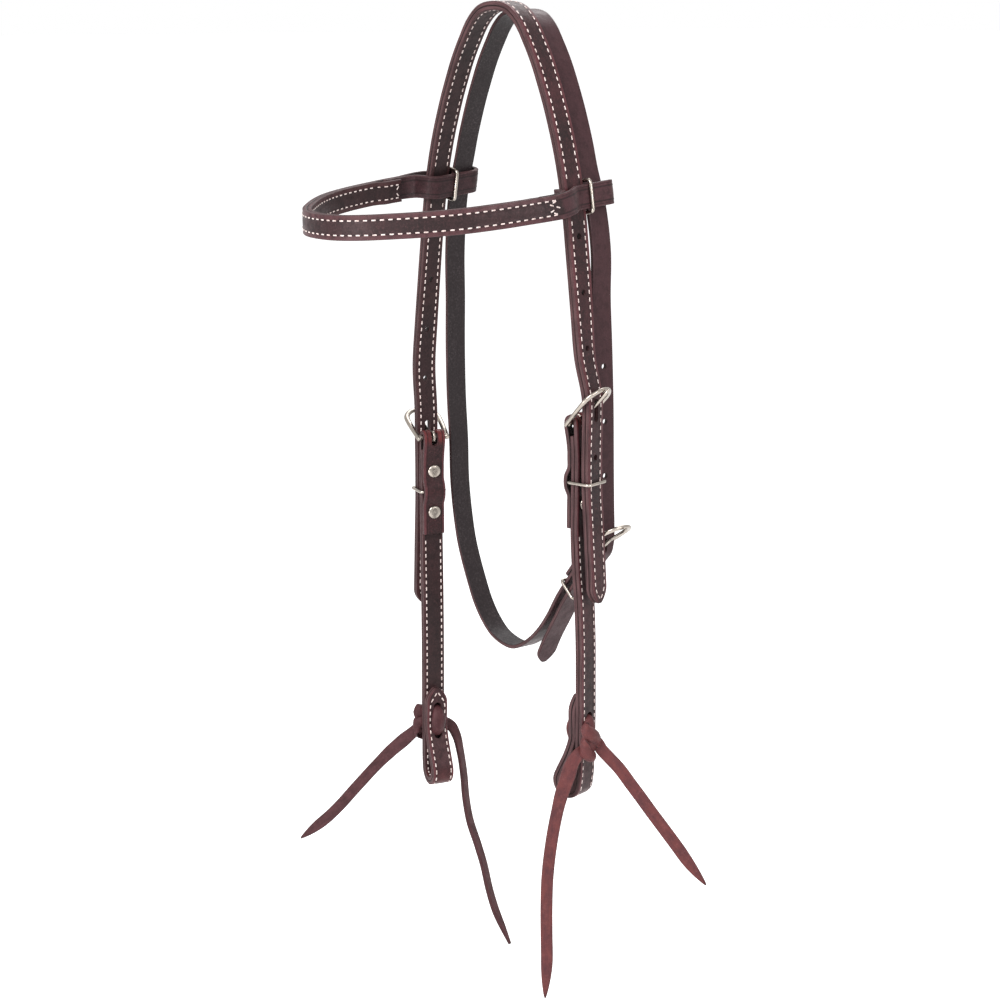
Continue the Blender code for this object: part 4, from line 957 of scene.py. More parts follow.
def buckle_frame(place, tilt, bulge):
    """A horseshoe frame, its sides run down past its heel bar."""
    reach, face = place.tilted(tilt)
    side = reach.cross(face)
    major = FRAME_INNER_HALF_WIDTH + FRAME_SIDE_WIDTH / 2
    deselect()
    bpy.ops.mesh.primitive_torus_add(
        major_radius=major, minor_radius=FRAME_SIDE_WIDTH / 2, major_segments=FRAME_ARC_SEGMENTS,
        minor_segments=FRAME_RING_SEGMENTS)
    item = bpy.context.object
    for vert in item.data.vertices:
        vert.co.z *= FRAME_THICKNESS / FRAME_SIDE_WIDTH
    only(item)
    bpy.ops.object.mode_set(mode="EDIT")
    bpy.ops.mesh.select_all(action="DESELECT")
    shape = bmesh.from_edit_mesh(item.data)
    for vert in shape.verts:
        if vert.co.y < -MERGE:
            vert.select_set(True)
    shape.select_flush(True)
    bmesh.update_edit_mesh(item.data)
    bpy.ops.mesh.delete(type="VERT")
    shape = bmesh.from_edit_mesh(item.data)
    for edge in shape.edges:
        if edge.is_boundary:
            edge.select_set(True)
    bmesh.update_edit_mesh(item.data)
    drop = FRAME_ARC_CENTRE + FRAME_HEEL - RIM
    for _ in range(FRAME_SIDE_STEPS):
        bpy.ops.mesh.extrude_edges_move(
            TRANSFORM_OT_translate={"value": (0.0, -drop / FRAME_SIDE_STEPS, 0.0)})
    shape = bmesh.from_edit_mesh(item.data)
    for sense in (1.0, -1.0):
        middle = Vector((sense * major, 0.0, 0.0))
        for inset, sink in FRAME_END_SHARES:
            edges = [edge for edge in shape.edges if edge.is_boundary and edge.verts[0].co.x * sense > 0]
            made = bmesh.ops.extrude_edge_only(shape, edges=edges)["geom"]
            for vert in (part for part in made if isinstance(part, bmesh.types.BMVert)):
                vert.co.x += (middle.x - vert.co.x) * inset
                vert.co.z *= 1.0 - inset
                vert.co.y = -drop - RIM * sink
        edges = [edge for edge in shape.edges if edge.is_boundary and edge.verts[0].co.x * sense > 0]
        bmesh.ops.contextual_create(shape, geom=edges)
    for vert in shape.verts:
        along = min(max(-vert.co.y / drop, 0.0), 1.0)
        vert.co.x *= 1.0 + bulge * math.cos(along * math.pi / 2)
        vert.co.z *= FRAME_ROUNDING
    bmesh.update_edit_mesh(item.data)
    bpy.ops.object.mode_set(mode="OBJECT")
    turn = Matrix((side, reach, face)).transposed().to_4x4()
    item.matrix_world = Matrix.Translation(place.bar + reach * FRAME_ARC_CENTRE) @ turn
    frame_piece = settle(item)
    deselect()
    bpy.ops.mesh.primitive_cylinder_add(
        vertices=BAR_SEGMENTS, radius=BAR_RADIUS, depth=2 * FRAME_INNER_HALF_WIDTH + FRAME_SIDE_WIDTH)
    bar = bpy.context.object
    turn = Matrix((reach, face, side)).transposed().to_4x4()
    bar.matrix_world = Matrix.Translation(place.bar) @ turn
    return join([frame_piece, settle(bar)])


def buckle_tongue(place, tilt):
    reach, face = place.tilted(tilt)
    wrap = BAR_RADIUS + GAP + TONGUE_RADIUS
    rest = FRAME_THICKNESS / 2 + GAP + TONGUE_RADIUS
    arc_middle = FRAME_ARC_CENTRE + FRAME_INNER_HALF_WIDTH + FRAME_SIDE_WIDTH / 2
    rows = arc(wrap, 2 * math.pi, -TONGUE_WRAP_TURN, TURN_STEPS)
    dip = (wrap + rest) / 2 - TONGUE_RADIUS / 2
    for share, height in zip(TONGUE_SHARES, (wrap, dip, rest, rest)):
        rows.append((arc_middle * share, height))
    rows.append((TONGUE_TIP_REACH, rest - TONGUE_RADIUS / 4))
    route = Route([tuple(place.bar + reach * s + face * n) for s, n in rows], along_heel(place))
    points = [route.at(route.length * part / TONGUE_STEPS)[0] for part in range(TONGUE_STEPS + 1)]
    radii = [1.0] * (len(points) - len(TONGUE_TIP_SHARES)) + list(TONGUE_TIP_SHARES)
    return swept(points, TONGUE_RADIUS, radii=radii)


def along_heel(place):
    return lambda row, along: place.back


def turned(profile, point, axis, side):
    """A turned piece: its profile, from the middle of its head down, spun round its axis."""
    deselect()
    mesh = bpy.data.meshes.new("turned")
    mesh.from_pydata([(radius, 0.0, height) for radius, height in profile],
                     [(index, index + 1) for index in range(len(profile) - 1)], [])
    item = link("turned", mesh)
    only(item)
    bpy.ops.object.mode_set(mode="EDIT")
    bpy.ops.mesh.select_all(action="SELECT")
    bpy.ops.mesh.spin(steps=HEAD_SEGMENTS, angle=2 * math.pi, center=(0.0, 0.0, 0.0), axis=(0.0, 0.0, 1.0))
    bpy.ops.object.mode_set(mode="OBJECT")
    turn = Matrix((side, axis.cross(side), axis)).transposed().to_4x4()
    item.matrix_world = Matrix.Translation(point) @ turn
    return settle(item)


def screw_profile(length, shank):
    """A domed head with a small round dimple, and its shank."""
    top = SCREW_HEAD_HEIGHT
    sunk = SCREW_DIMPLE_DEPTH * SCREW_DIMPLE_SHARE
    profile = [(SCREW_DIMPLE_RADIUS * out, top - sunk * down) for out, down in DIMPLE_SHARES]
    profile += [(radius * SCREW_HEAD_RADIUS, height * top) for radius, height in SCREW_DOME_SHARES]
    return profile + [(shank, 0.0), (shank, -length), (0.0, -length)]


# Finishes

LOOP_CREASE_INSET = 0.0016
LOOP_BLEND = 0.0030
PULLED_BENDS = (40.0, 150.0)
BAND_PULLED_BENDS = (60.0, 380.0)
LEATHER_SPECULAR = 0.17


def tone(colour, share, lift=0.0):
    """A colour made darker or lighter."""
    return [part * share + lift for part in colour]


class Finish:
    """A material's nodes, added and joined one at a time."""

    def __init__(self, name):
        self.made = bpy.data.materials.new(name)
        self.made.use_nodes = True
        self.tree = self.made.node_tree
        self.shader = self.tree.nodes["Principled BSDF"]
        self.place = self.add("ShaderNodeTexCoord").outputs["Object"]

    def add(self, kind, inputs=(), **settings):
        node = self.tree.nodes.new(kind)
        for name, value in settings.items():
            setattr(node, name, value)
        for key, value in dict(inputs).items():
            self.give(node.inputs[key], value)
        return node

    def give(self, socket, value):
        if isinstance(value, bpy.types.NodeSocket):
            self.tree.links.new(value, socket)
        else:
            socket.default_value = value

    def math(self, operation, first, second=0.0):
        return self.add("ShaderNodeMath", {0: first, 1: second}, operation=operation).outputs[0]

    def times(self, first, second):
        return self.math("MULTIPLY", first, second)

    def plus(self, first, second):
        return self.math("ADD", first, second)

    def away(self, value, middle):
        """How far a value is from a middle one."""
        return self.math("ABSOLUTE", self.math("SUBTRACT", value, middle))

    def ramp(self, value, low, high, start=0.0, end=1.0):
        inputs = {"Value": value, "From Min": low, "From Max": high, "To Min": start, "To Max": end}
        return self.add("ShaderNodeMapRange", inputs, interpolation_type="SMOOTHSTEP").outputs[0]

    def noise(self, scale, detail=3.0, vector=None, roughness=0.55, stretch=None):
        vector = vector or self.place
        if stretch:
            vector = self.add("ShaderNodeMapping", {"Vector": vector, "Scale": stretch}).outputs[0]
        inputs = {"Vector": vector, "Scale": scale, "Detail": detail, "Roughness": roughness}
        return self.add("ShaderNodeTexNoise", inputs).outputs[0]

    def mix(self, factor, first, second, blend="MIX"):
        node = self.add("ShaderNodeMix", data_type="RGBA", blend_type=blend)
        for index, value in ((0, factor), (6, first), (7, second)):
            if not isinstance(value, bpy.types.NodeSocket) and index:
                value = (*value, 1.0)
            self.give(node.inputs[index], value)
        return node.outputs[2]

    def bump(self, height, strength, distance):
        inputs = {"Height": height, "Strength": strength, "Distance": distance}
        return self.add("ShaderNodeBump", inputs).outputs[0]

    def attribute(self, name, output):
        return self.add("ShaderNodeAttribute", attribute_name=name).outputs[output]

    def finish(self, colour, roughness, normal, metallic=0.0, specular=0.5):
        for name, value in (("Base Color", colour), ("Roughness", roughness), ("Normal", normal)):
            self.give(self.shader.inputs[name], value)
        self.shader.inputs["Metallic"].default_value = metallic
        self.shader.inputs["Specular IOR Level"].default_value = specular
        return self.made


def strap_leather(name, margin, centre, pulled, edge, row, half=STRAP_WIDTH / 2, flesh=None, under=None,
                  tight=PULLED_BENDS, loops=None, roughness=0.42):
    """Waxed leather: dark between its rows, redder at its margins and sharp bends, with worn edges."""
    mix = Finish(name)
    place = mix.attribute("strap_place", "Vector")
    parts = mix.add("ShaderNodeSeparateXYZ", {0: place}).outputs
    across = mix.math("ABSOLUTE", parts[1])
    side = mix.math("ABSOLUTE", parts[2])
    cloud = mix.noise(24.0, 4.0)
    mottle = mix.noise(170.0, 5.0, roughness=0.62)
    fibre = mix.noise(1.0, 3.0, place, stretch=(60.0, 1500.0, 1.5))
    scuff = mix.noise(1.0, 4.0, place, roughness=0.7, stretch=(90.0, 260.0, 1.0))
    grain = mix.add("ShaderNodeTexVoronoi", {"Vector": mix.place, "Scale": 1150.0}).outputs["Distance"]
    fine = mix.noise(2600.0, 3.0)
    between = mix.ramp(across, row - SEAM_WIDTH, row + SEAM_WIDTH / 2, 1.0, 0.0)
    between = mix.times(between, mix.ramp(cloud, 0.25, 0.7, 0.55, 1.0))
    colour = mix.mix(between, margin, centre)
    # The two loop colours are painted light at the near loop and painted shade at the far loop
    if loops:
        start, end, first, last = loops
        crease = mix.ramp(mix.away(across, half - LOOP_CREASE_INSET), SEAM_WIDTH / 2, 0.0)
        for low, high, loop_light_shade in ((start, start - LOOP_BLEND, first), (end, end + LOOP_BLEND, last)):
            creased = mix.mix(crease, loop_light_shade, tone(loop_light_shade, 0.4))
            colour = mix.mix(mix.ramp(parts[0], low, high), colour, creased)
    colour = mix.mix(mix.ramp(mottle, 0.42, 0.72, 0.0, 0.6), colour, tone(centre, 0.45))
    fleck = mix.ramp(mix.noise(640.0, 5.0, roughness=0.8), 0.48, 0.72, 0.0, 0.42)
    colour = mix.mix(fleck, colour, tone(margin, 1.5, 0.006))
    pit = mix.ramp(mix.noise(880.0, 4.0, roughness=0.8), 0.52, 0.72, 0.0, 0.55)
    colour = mix.mix(pit, colour, tone(centre, 0.4))
    colour = mix.mix(mix.ramp(scuff, 0.6, 0.82, 0.0, 0.4), colour, tone(margin, 1.5, 0.02))
    bent = mix.ramp(mix.attribute("bend", "Fac"), *tight)
    bent = mix.times(bent, mix.ramp(mottle, 0.25, 0.7, 1.0, 0.5))
    colour = mix.mix(bent, colour, pulled)
    rub = mix.times(mix.ramp(across, half - 2.2 * SEAM_WIDTH, half), mix.ramp(fibre, 0.3, 0.7))
    colour = mix.mix(mix.times(rub, 0.5), colour, tone(margin, 1.25, 0.012))
    if under:
        colour = mix.mix(mix.ramp(parts[2], *BACK_FACE), colour, under)
    if flesh:
        back = mix.ramp(parts[2], *BACK_FACE)
        speck = mix.ramp(mix.noise(620.0, 5.0, roughness=0.75), 0.45, 0.75)
        speck = mix.times(speck, mix.ramp(cloud, 0.35, 0.65, 0.25, 1.0))
        colour = mix.mix(back, colour, mix.mix(speck, flesh, tone(flesh, 2.4, 0.02)))
    rim = mix.ramp(side, 0.9, 0.6)
    worn = mix.mix(mix.ramp(fibre, 0.35, 0.68), edge, tone(edge, 0.42))
    colour = mix.mix(rim, colour, worn)
    dark_line = mix.ramp(mix.away(side, DARK_LINE), 0.13, 0.02)
    colour = mix.mix(mix.times(dark_line, 0.55), colour, tone(centre, 0.25))
    if row < half:
        # Painted shade: the leather is darkened along the sunken sewn rows
        sunk = mix.ramp(mix.away(across, row), SEAM_WIDTH, 0.0)
        colour = mix.mix(mix.times(sunk, 0.75), colour, tone(centre, 0.3))
    height = mix.plus(mix.times(grain, 0.55), mix.times(fine, 0.35))
    height = mix.plus(height, mix.times(mottle, 1.3))
    shine = mix.plus(mix.ramp(mottle, 0.2, 0.8, roughness - 0.07, roughness + 0.12),
                     mix.times(rim, 0.15))
    return mix.finish(colour, shine, mix.bump(height, 0.5, 0.00022), specular=LEATHER_SPECULAR)


def lace_leather(name, colour_one, colour_two, edge):
    """Soft lace leather: reddish, with lengthwise fibres and pale scuffs."""
    mix = Finish(name)
    place = mix.attribute("strap_place", "Vector")
    parts = mix.add("ShaderNodeSeparateXYZ", {0: place}).outputs
    side = mix.math("ABSOLUTE", parts[2])
    fibre = mix.noise(1.0, 4.0, place, stretch=(90.0, 1700.0, 2.0))
    blotch = mix.noise(1.0, 5.0, place, roughness=0.68, stretch=(85.0, 190.0, 2.0))
    grain = mix.noise(1700.0, 4.0)
    pores = mix.add("ShaderNodeTexVoronoi", {"Vector": mix.place, "Scale": 1500.0}).outputs["Distance"]
    colour = mix.mix(mix.ramp(blotch, 0.35, 0.68), colour_one, colour_two)
    colour = mix.mix(mix.ramp(fibre, 0.5, 0.85, 0.0, 0.45), colour, tone(colour_two, 0.45))
    pale = mix.ramp(mix.noise(330.0, 5.0, roughness=0.8), 0.5, 0.75, 0.0, 0.5)
    colour = mix.mix(pale, colour, tone(colour_one, 1.5, 0.02))
    pit = mix.ramp(mix.noise(520.0, 4.0, roughness=0.75), 0.55, 0.75, 0.0, 0.6)
    colour = mix.mix(pit, colour, tone(colour_two, 0.6))
    rim = mix.ramp(side, 0.75, 0.2)
    colour = mix.mix(mix.times(rim, 0.8), colour, edge)
    height = mix.plus(grain, mix.times(pores, 0.7))
    height = mix.plus(height, mix.times(fibre, 0.8))
    shine = mix.ramp(blotch, 0.25, 0.75, 0.42, 0.6)
    return mix.finish(colour, shine, mix.bump(height, 0.5, 0.0003), specular=LEATHER_SPECULAR)


def waxed_thread(name, colour):
    """Pale twisted thread, tinted by the leather's dye."""
    mix = Finish(name)
    tint = mix.noise(420.0, 4.0)
    twist = mix.add("ShaderNodeTexWave", {"Vector": mix.place, "Scale": 900.0, "Distortion": 2.0},
                    bands_direction="DIAGONAL").outputs["Fac"]
    shade = mix.mix(mix.ramp(tint, 0.35, 0.75), colour, [part * part * 0.75 for part in colour])
    return mix.finish(shade, mix.ramp(tint, 0.2, 0.8, 0.5, 0.68), mix.bump(twist, 0.6, 0.0002))


def warm_steel(name, colour, roughness):
    """Polished stainless steel with a warm cast, handling marks and duller patches."""
    mix = Finish(name)
    cloud = mix.noise(130.0, 4.0)
    marks = mix.noise(900.0, 6.0, stretch=(1.0, 1.0, 0.25))
    colour_made = mix.mix(mix.ramp(cloud, 0.3, 0.75), colour, tone(colour, 0.72))
    colour_made = mix.mix(mix.ramp(marks, 0.6, 0.8, 0.0, 0.3), colour_made, tone(colour, 0.4))
    shine = mix.ramp(cloud, 0.25, 0.8, roughness - 0.05, roughness + 0.1)
    return mix.finish(colour_made, shine, mix.bump(marks, 0.12, 0.0001), metallic=1.0)


# Sizes and colours that a user would change

def colour_setting(label, note, value):
    return bpy.props.FloatVectorProperty(
        name=label, description=note, subtype="COLOR", size=3, min=0.0, max=1.0, default=value)


def number_setting(label, note, low, high, value, **kind):
    return bpy.props.FloatProperty(name=label, description=note, min=low, max=high, default=value, **kind)


class HEADSTALL_PG_leather(bpy.types.PropertyGroup):
    """Colours of the straps, their edges, the laces and the thread."""
    margin: colour_setting("Margin", "Leather outside the sewn rows", (0.082, 0.026, 0.030))
    band_margin: colour_setting("Browband margin", "Browband outside the sewn rows", (0.066, 0.0275, 0.0305))
    centre: colour_setting("Centre", "Leather between the sewn rows", (0.0185, 0.0105, 0.0110))
    pulled: colour_setting("Pulled", "Leather where it is bent sharply", (0.120, 0.024, 0.024))
    edge: colour_setting("Edge", "Burnished cut edges", (0.082, 0.040, 0.042))
    lining: colour_setting("Lining", "Inner layer of the doubled straps", (0.044, 0.0175, 0.0185))
    throat: colour_setting("Throatlatch", "Outer face of the throatlatch", (0.044, 0.0180, 0.0210))
    flesh: colour_setting("Flesh side", "Rough inner face of the throatlatch", (0.0170, 0.0120, 0.0130))
    lace: colour_setting("Lace", "Tie laces of the near side", (0.112, 0.031, 0.030))
    # On the far side's laces this colour is painted shade; on the near laces it makes their dark patches
    lace_dark_and_far_shade: colour_setting(
        "Lace shade", "Tie laces of the far side, and dark patches", (0.066, 0.0215, 0.0245))
    thread: colour_setting("Thread", "Stitching", (0.80, 0.68, 0.65))
    roughness: number_setting("Roughness", "How dull the straps are", 0.1, 0.9, 0.40, subtype="FACTOR")


class HEADSTALL_PG_sewing(bpy.types.PropertyGroup):
    """Spacing of the stitches."""
    pitch: number_setting("Pitch", "Distance from stitch to stitch on crown and cheeks",
                          0.002, 0.012, STITCH_PITCH, unit="LENGTH", precision=4)
    band_pitch: number_setting("Browband pitch", "Distance from stitch to stitch on the browband",
                               0.002, 0.012, BAND_STITCH_PITCH, unit="LENGTH", precision=4)


class HEADSTALL_PG_metal(bpy.types.PropertyGroup):
    """Colour and polish of the buckles, keepers and screws."""
    steel: colour_setting("Steel", "Warm stainless steel", (0.40, 0.355, 0.312))
    roughness: number_setting("Roughness", "How dull the metal is", 0.02, 0.8, 0.24, subtype="FACTOR")


class HEADSTALL_PG_stage(bpy.types.PropertyGroup):
    """Light and camera."""
    world: number_setting("Sky", "Strength of the light from all round", 0.0, 5.0, 0.55)
    key: number_setting("Key lamp", "Power of the lamp above the forehead", 0.0, 500.0, 24.0, unit="POWER")
    fill: number_setting("Fill lamps", "Power of each lamp at the sides and the back",
                         0.0, 500.0, 10.0, unit="POWER")
    distance: number_setting("Camera distance", "From the middle of the headstall to the camera",
                             0.5, 5.0, 1.5, unit="LENGTH")


# The pieces

# How bright the browband's two end loops are, beside the throatlatch's colour: the near loop is painted
# lighter as painted light, and the far loop darker as painted shade
LOOP_LIGHT_AND_SHADE_TONES = (1.25, 0.7)
# Ends of the browband's rows: pitches along the band, and shares of the distance to a row
ZIGZAG_SHARES = ((0.0, 1.0), (1.1, 0.5), (0.0, 0.0), (1.1, -0.5), (0.0, -1.0))
FISHTAIL_SHARES = ((0.0, 1.0), (0.8, 0.0), (0.0, -1.0))
# A screw's two shanks: shares of what they grip, and of the head's radius
POST_SHARES = (0.6, 1 / 2)
CAP_SHARES = (0.3, 1 / 3)

CROWN = crown_route()
CHEEKS = {1.0: cheek_route(1.0), -1.0: cheek_route(-1.0)}
BAND = band_route()
THROAT = throat_route()
SIDES = (("near_", 1.0, NEAR_FRAME_TILT), ("far_", -1.0, FAR_FRAME_TILT))
FINISHES = {}


def crown_shape():
    return Shape(0.0, CROWN.length, start_tip=TIP_LENGTH, end_tip=TIP_LENGTH)


def over_bar(route, place):
    return route.nearest_reach(place.at(0.0, 0.0, FOLD_RADIUS))


def cheek_lining_start(sign):
    return over_bar(CHEEKS[sign], side_place(sign)) + FOLD_RADIUS * math.pi / 2 + LINING_START_DROP


def band_facing():
    return 1.0 if BAND.at(BAND.length / 2)[3].y < 0 else -1.0


def band_lining_offset(distance):
    ramp_near, ramp_far = (band_distance(BAND, share) for share in LINING_RAMP_SHARES)
    from_end = min(distance, BAND.length - distance)
    rise = 1 - eased((from_end - ramp_near) / (ramp_far - ramp_near))
    return -band_facing() * (LAYER_STEP + (LAYER_STEP + 2 * GAP) * rise)


def make_layer(name, route, shape, row, offset, facing, finish, body, holes=()):
    """Cuts, lays and dresses one layer of a sewn strap."""
    item = cut_flat(route, shape, seam_columns(row, shape.half), holes=holes)
    lay(item, route, shape, offset, facing, row=row)
    slot = "dark_lining" if finish.endswith("lining") else "oxblood_outer"
    dress(item, name + "_leather", FINISHES[finish], body, slot, name)


def fold_slot(route, place):
    """The slot that lets the tongue through a strap's fold over its heel bar."""
    return (over_bar(route, place), FOLD_SLOT_RADIUS,
            math.pi / 2 * FOLD_RADIUS + FOLD_SLOT_DROP - FOLD_SLOT_RADIUS)


def make_crown():
    holes = []
    for hole in range(HOLE_COUNT):
        distance = FIRST_HOLE + hole * HOLE_PITCH
        if hole != TONGUE_HOLE:
            holes += [(place, HOLE_RADIUS, 0.0) for place in (distance, CROWN.length - distance)]
    for sign, tilt in ((1.0, NEAR_FRAME_TILT), (-1.0, FAR_FRAME_TILT)):
        start = FIRST_HOLE if sign > 0 else CROWN.length - FIRST_HOLE - 2 * HOLE_PITCH
        found = CROWN.crossings(tongue_line(side_place(sign), tilt), start, start + 2 * HOLE_PITCH)
        holes.append((found[0], TONGUE_SLOT_RADIUS,
                      TONGUE_SLOT_HALF_LENGTH - TONGUE_SLOT_RADIUS / 2 + SLOT_ROOM))
    for name, side, finish in (("crown_outer_layer", -1, "crown"), ("crown_lining", 1, "crown_lining")):
        make_layer(name, CROWN, crown_shape(), CROWN_ROW, side * LAYER_STEP / 2, -1.0, finish, "headstall",
                   holes)


def make_cheeks():
    for prefix, sign, _ in SIDES:
        route, place = CHEEKS[sign], side_place(sign)
        slot = fold_slot(route, place)
        lace_holes = []
        for drop in (UPPER_LACE_HOLE_DROP, LOWER_LACE_HOLE_DROP):
            line = (place.at(CHEEK_FRONT_OUT, 0.0, -drop), place.out)
            lace_holes += [(found, LACE_HOLE_RADIUS, 0.0) for found in route.crossings(line, slot[0])]
        for name, start, offset, finish, holes in (
                ("cheek_outer_layer", 0.0, 0.0, "cheek", lace_holes + [slot]),
                ("cheek_lining", cheek_lining_start(sign), -sign * LAYER_STEP, "cheek_lining", lace_holes)):
            shape = Shape(start, route.length, end_tip=TIP_LENGTH)
            make_layer(prefix + name, route, shape, CHEEK_ROW, offset, sign, finish, "headstall", holes)


def make_browband():
    start = band_distance(BAND, LINING_START_SHARE)
    lining = Shape(start, BAND.length - start, fishtail=FISHTAIL_DEPTH)
    for name, shape, offset, finish in (
            ("browband_outer_layer", Shape(0.0, BAND.length), 0.0, "band"),
            ("browband_lining", lining, band_lining_offset, "band_lining")):
        make_layer(name, BAND, shape, BAND_ROW, offset, band_facing(), finish, "browband")


def make_throatlatch():
    place = throat_place()
    holes = [(THROAT_FIRST_HOLE + hole * THROAT_HOLE_PITCH, HOLE_RADIUS, 0.0)
             for hole in range(HOLE_COUNT) if hole != THROAT_TONGUE_HOLE]
    line = tongue_line(place, THROAT_FRAME_TILT - THROAT_END_TILT)
    found = THROAT.crossings(line, THROAT_FIRST_HOLE, THROAT_FIRST_HOLE + 2 * THROAT_HOLE_PITCH)
    holes.append((found[0], TONGUE_SLOT_RADIUS, TONGUE_SLOT_HALF_LENGTH - TONGUE_SLOT_RADIUS / 2))
    holes.append(fold_slot(THROAT, place))
    shape = Shape(0.0, THROAT.length, start_tip=TIP_LENGTH)
    item = cut_flat(THROAT, shape, holes=holes)
    lay(item, THROAT, shape, 0.0, -1.0)
    dress(item, "throatlatch_strap_leather", FINISHES["throat"], "headstall", "throat_leather",
          "throatlatch_strap")


# Knot rows: out, back and up from the middle of the knot, the way the lace faces, and its width share
KNOT_THROUGH_ROWS = [
    (-0.0055, 0.0, -0.0030, 0, 0, -1, 0.66), (-0.0120, 0.0, -0.0031, 0, 0, -1, 0.66),
    (-0.0160, 0.0, -0.0026, -0.3, 0, -1, 0.80), (-0.0186, 0.0, -0.0004, -1, 0, -0.8, 1.06),
    (-0.0208, 0.0, 0.0034, -1, 0, -0.3, 1.24), (-0.0218, 0.0, 0.0078, -1, 0, 0, 1.30),
    (-0.0208, 0.0, 0.0122, -1, 0, 0.3, 1.24), (-0.0186, 0.0, 0.0156, -1, 0, 0.8, 1.02),
    (-0.0160, 0.0, 0.0178, -0.3, 0, 1, 0.74), (-0.0120, 0.0, 0.0184, 0, 0, 1, 0.66),
    (-0.0058, -0.0004, 0.0186, 0.1, 0, 1, 0.72), (-0.0036, -0.0014, 0.0176, 0.7, -0.1, 0.8, 0.9),
    (-0.0020, -0.0028, 0.0150, 1, -0.3, 0.35, 1.06), (-0.0008, -0.0040, 0.0114, 1, -0.4, 0.2, 1.1),
    (-0.0004, -0.0046, 0.0070, 1, -0.4, 0.0, 0.9),
]
KNOT_CENTRE = (-0.0012, -0.0032, 0.0)
KNOT_TURN_HALVES = (0.0040, 0.0083)
# Turns round the knot: angle from outwards to the back, height, radius share and width share
KNOT_TURN_ROWS = {
    "upper": [(-172, 0.0118, 0.80, 1.00), (-140, 0.0122, 0.92, 1.14), (-110, 0.0122, 1.0, 1.24),
              (-75, 0.0114, 1.04, 1.28), (-40, 0.0098, 1.06, 1.26), (-8, 0.0074, 1.06, 1.22),
              (25, 0.0046, 1.04, 1.16), (55, 0.0018, 1.0, 1.08), (85, -0.0006, 0.92, 0.98),
              (120, -0.0026, 0.8, 0.85)],
    "lower": [(-176, 0.0046, 0.80, 0.90), (-145, 0.0040, 0.96, 1.06), (-118, 0.0026, 1.05, 1.14),
              (-92, 0.0004, 1.08, 1.14), (-70, -0.0022, 1.06, 1.10), (-50, -0.0046, 0.98, 1.02),
              (-28, -0.0066, 0.86, 0.96), (0, -0.0078, 0.70, 0.90), (40, -0.0082, 0.50, 0.80)],
}
KNOT_CUP = 0.0019
KNOT_CORE_SHARES = (0.62, 0.78, 0.70)
KNOT_CORE_RISE = 0.0030
KNOT_CORE_SEGMENTS = 32
KNOT_CORE_RINGS = 20
TAIL_FLARE_ROWS = ((0.0, 0.92), (0.010, 1.04), (0.022, 1.20), (0.034, 1.14), (0.055, 1.0))


def lace_piece(route, shape, cup=0.0):
    item = cut_flat(route, shape, LACE_COLUMNS, LACE_THICKNESS, LACE_RIM, LACE_RIM_SEGMENTS)
    return lay(item, route, shape, 0.0, -1.0, LACE_THICKNESS, cup=cup)


def knot_band(middle, rows, cup=0.0):
    turned_rows = []
    for out, back, up, *rest in rows:
        point = middle.at(out, back, up)
        turned_rows.append((*point, *middle.turned(*rest[:3]), rest[3]))
    route = Route(turned_rows, facing_out)
    shape = Shape(0.0, route.length, LACE_WIDTH / 2, swell=lambda distance: route.value(distance, 6))
    return lace_piece(route, shape, cup)


def knot_turn(rows):
    """Knot rows of one turn round the middle of the knot."""
    made = []
    for degrees, up, radius, width in rows:
        angle = math.radians(degrees)
        out, back = math.cos(angle), math.sin(angle)
        made.append((KNOT_CENTRE[0] + KNOT_TURN_HALVES[0] * radius * out,
                     KNOT_CENTRE[1] + KNOT_TURN_HALVES[1] * radius * back, up,
                     out / KNOT_TURN_HALVES[0], back / KNOT_TURN_HALVES[1], 0.0, width))
    return made


def make_knots():
    for prefix, sign, _ in SIDES:
        place = side_place(sign)
        bow = CHEEK_BOW_SHARES[-2][1 if sign > 0 else 2] * CHEEK_BOW
        out = CHEEK_FRONT_OUT + bow + PLY / 2 + GAP + KNOT_HALF_THICKNESS
        middle = Place(place.at(out, 0.0, -KNOT_DROP), place.out, place.back, place.up)
        deselect()
        bpy.ops.mesh.primitive_uv_sphere_add(
            segments=KNOT_CORE_SEGMENTS, ring_count=KNOT_CORE_RINGS, radius=1.0)
        core = bpy.context.object
        halves = (KNOT_HALF_THICKNESS, KNOT_HALF_WIDTH, KNOT_HALF_HEIGHT)
        sizes = [half * share for half, share in zip(halves, KNOT_CORE_SHARES)]
        for vert in core.data.vertices:
            x, y, z = (part * size for part, size in zip(vert.co, sizes))
            vert.co = middle.at(x + KNOT_CENTRE[0], y + KNOT_CENTRE[1], z + KNOT_CORE_RISE)
        settle(core)
        attribute = core.data.attributes.new("strap_place", "FLOAT_VECTOR", "POINT")
        attribute.data.foreach_set("vector", [0.0, 0.0, 1.0] * len(core.data.vertices))
        bands = [knot_band(middle, KNOT_THROUGH_ROWS, KNOT_CUP)]
        bands += [knot_band(middle, knot_turn(rows), KNOT_CUP) for rows in KNOT_TURN_ROWS.values()]
        name = prefix + "tie_knot"
        dress(join([core] + bands), name + "_lace", FINISHES[prefix + "lace"], "headstall", "lace_leather",
              name)


def eased_value(rows, distance):
    """A value between rows of distance and value."""
    for (start, low), (end, high) in zip(rows, rows[1:]):
        if distance < end:
            return low + (high - low) * eased((distance - start) / (end - start))
    return rows[-1][1]


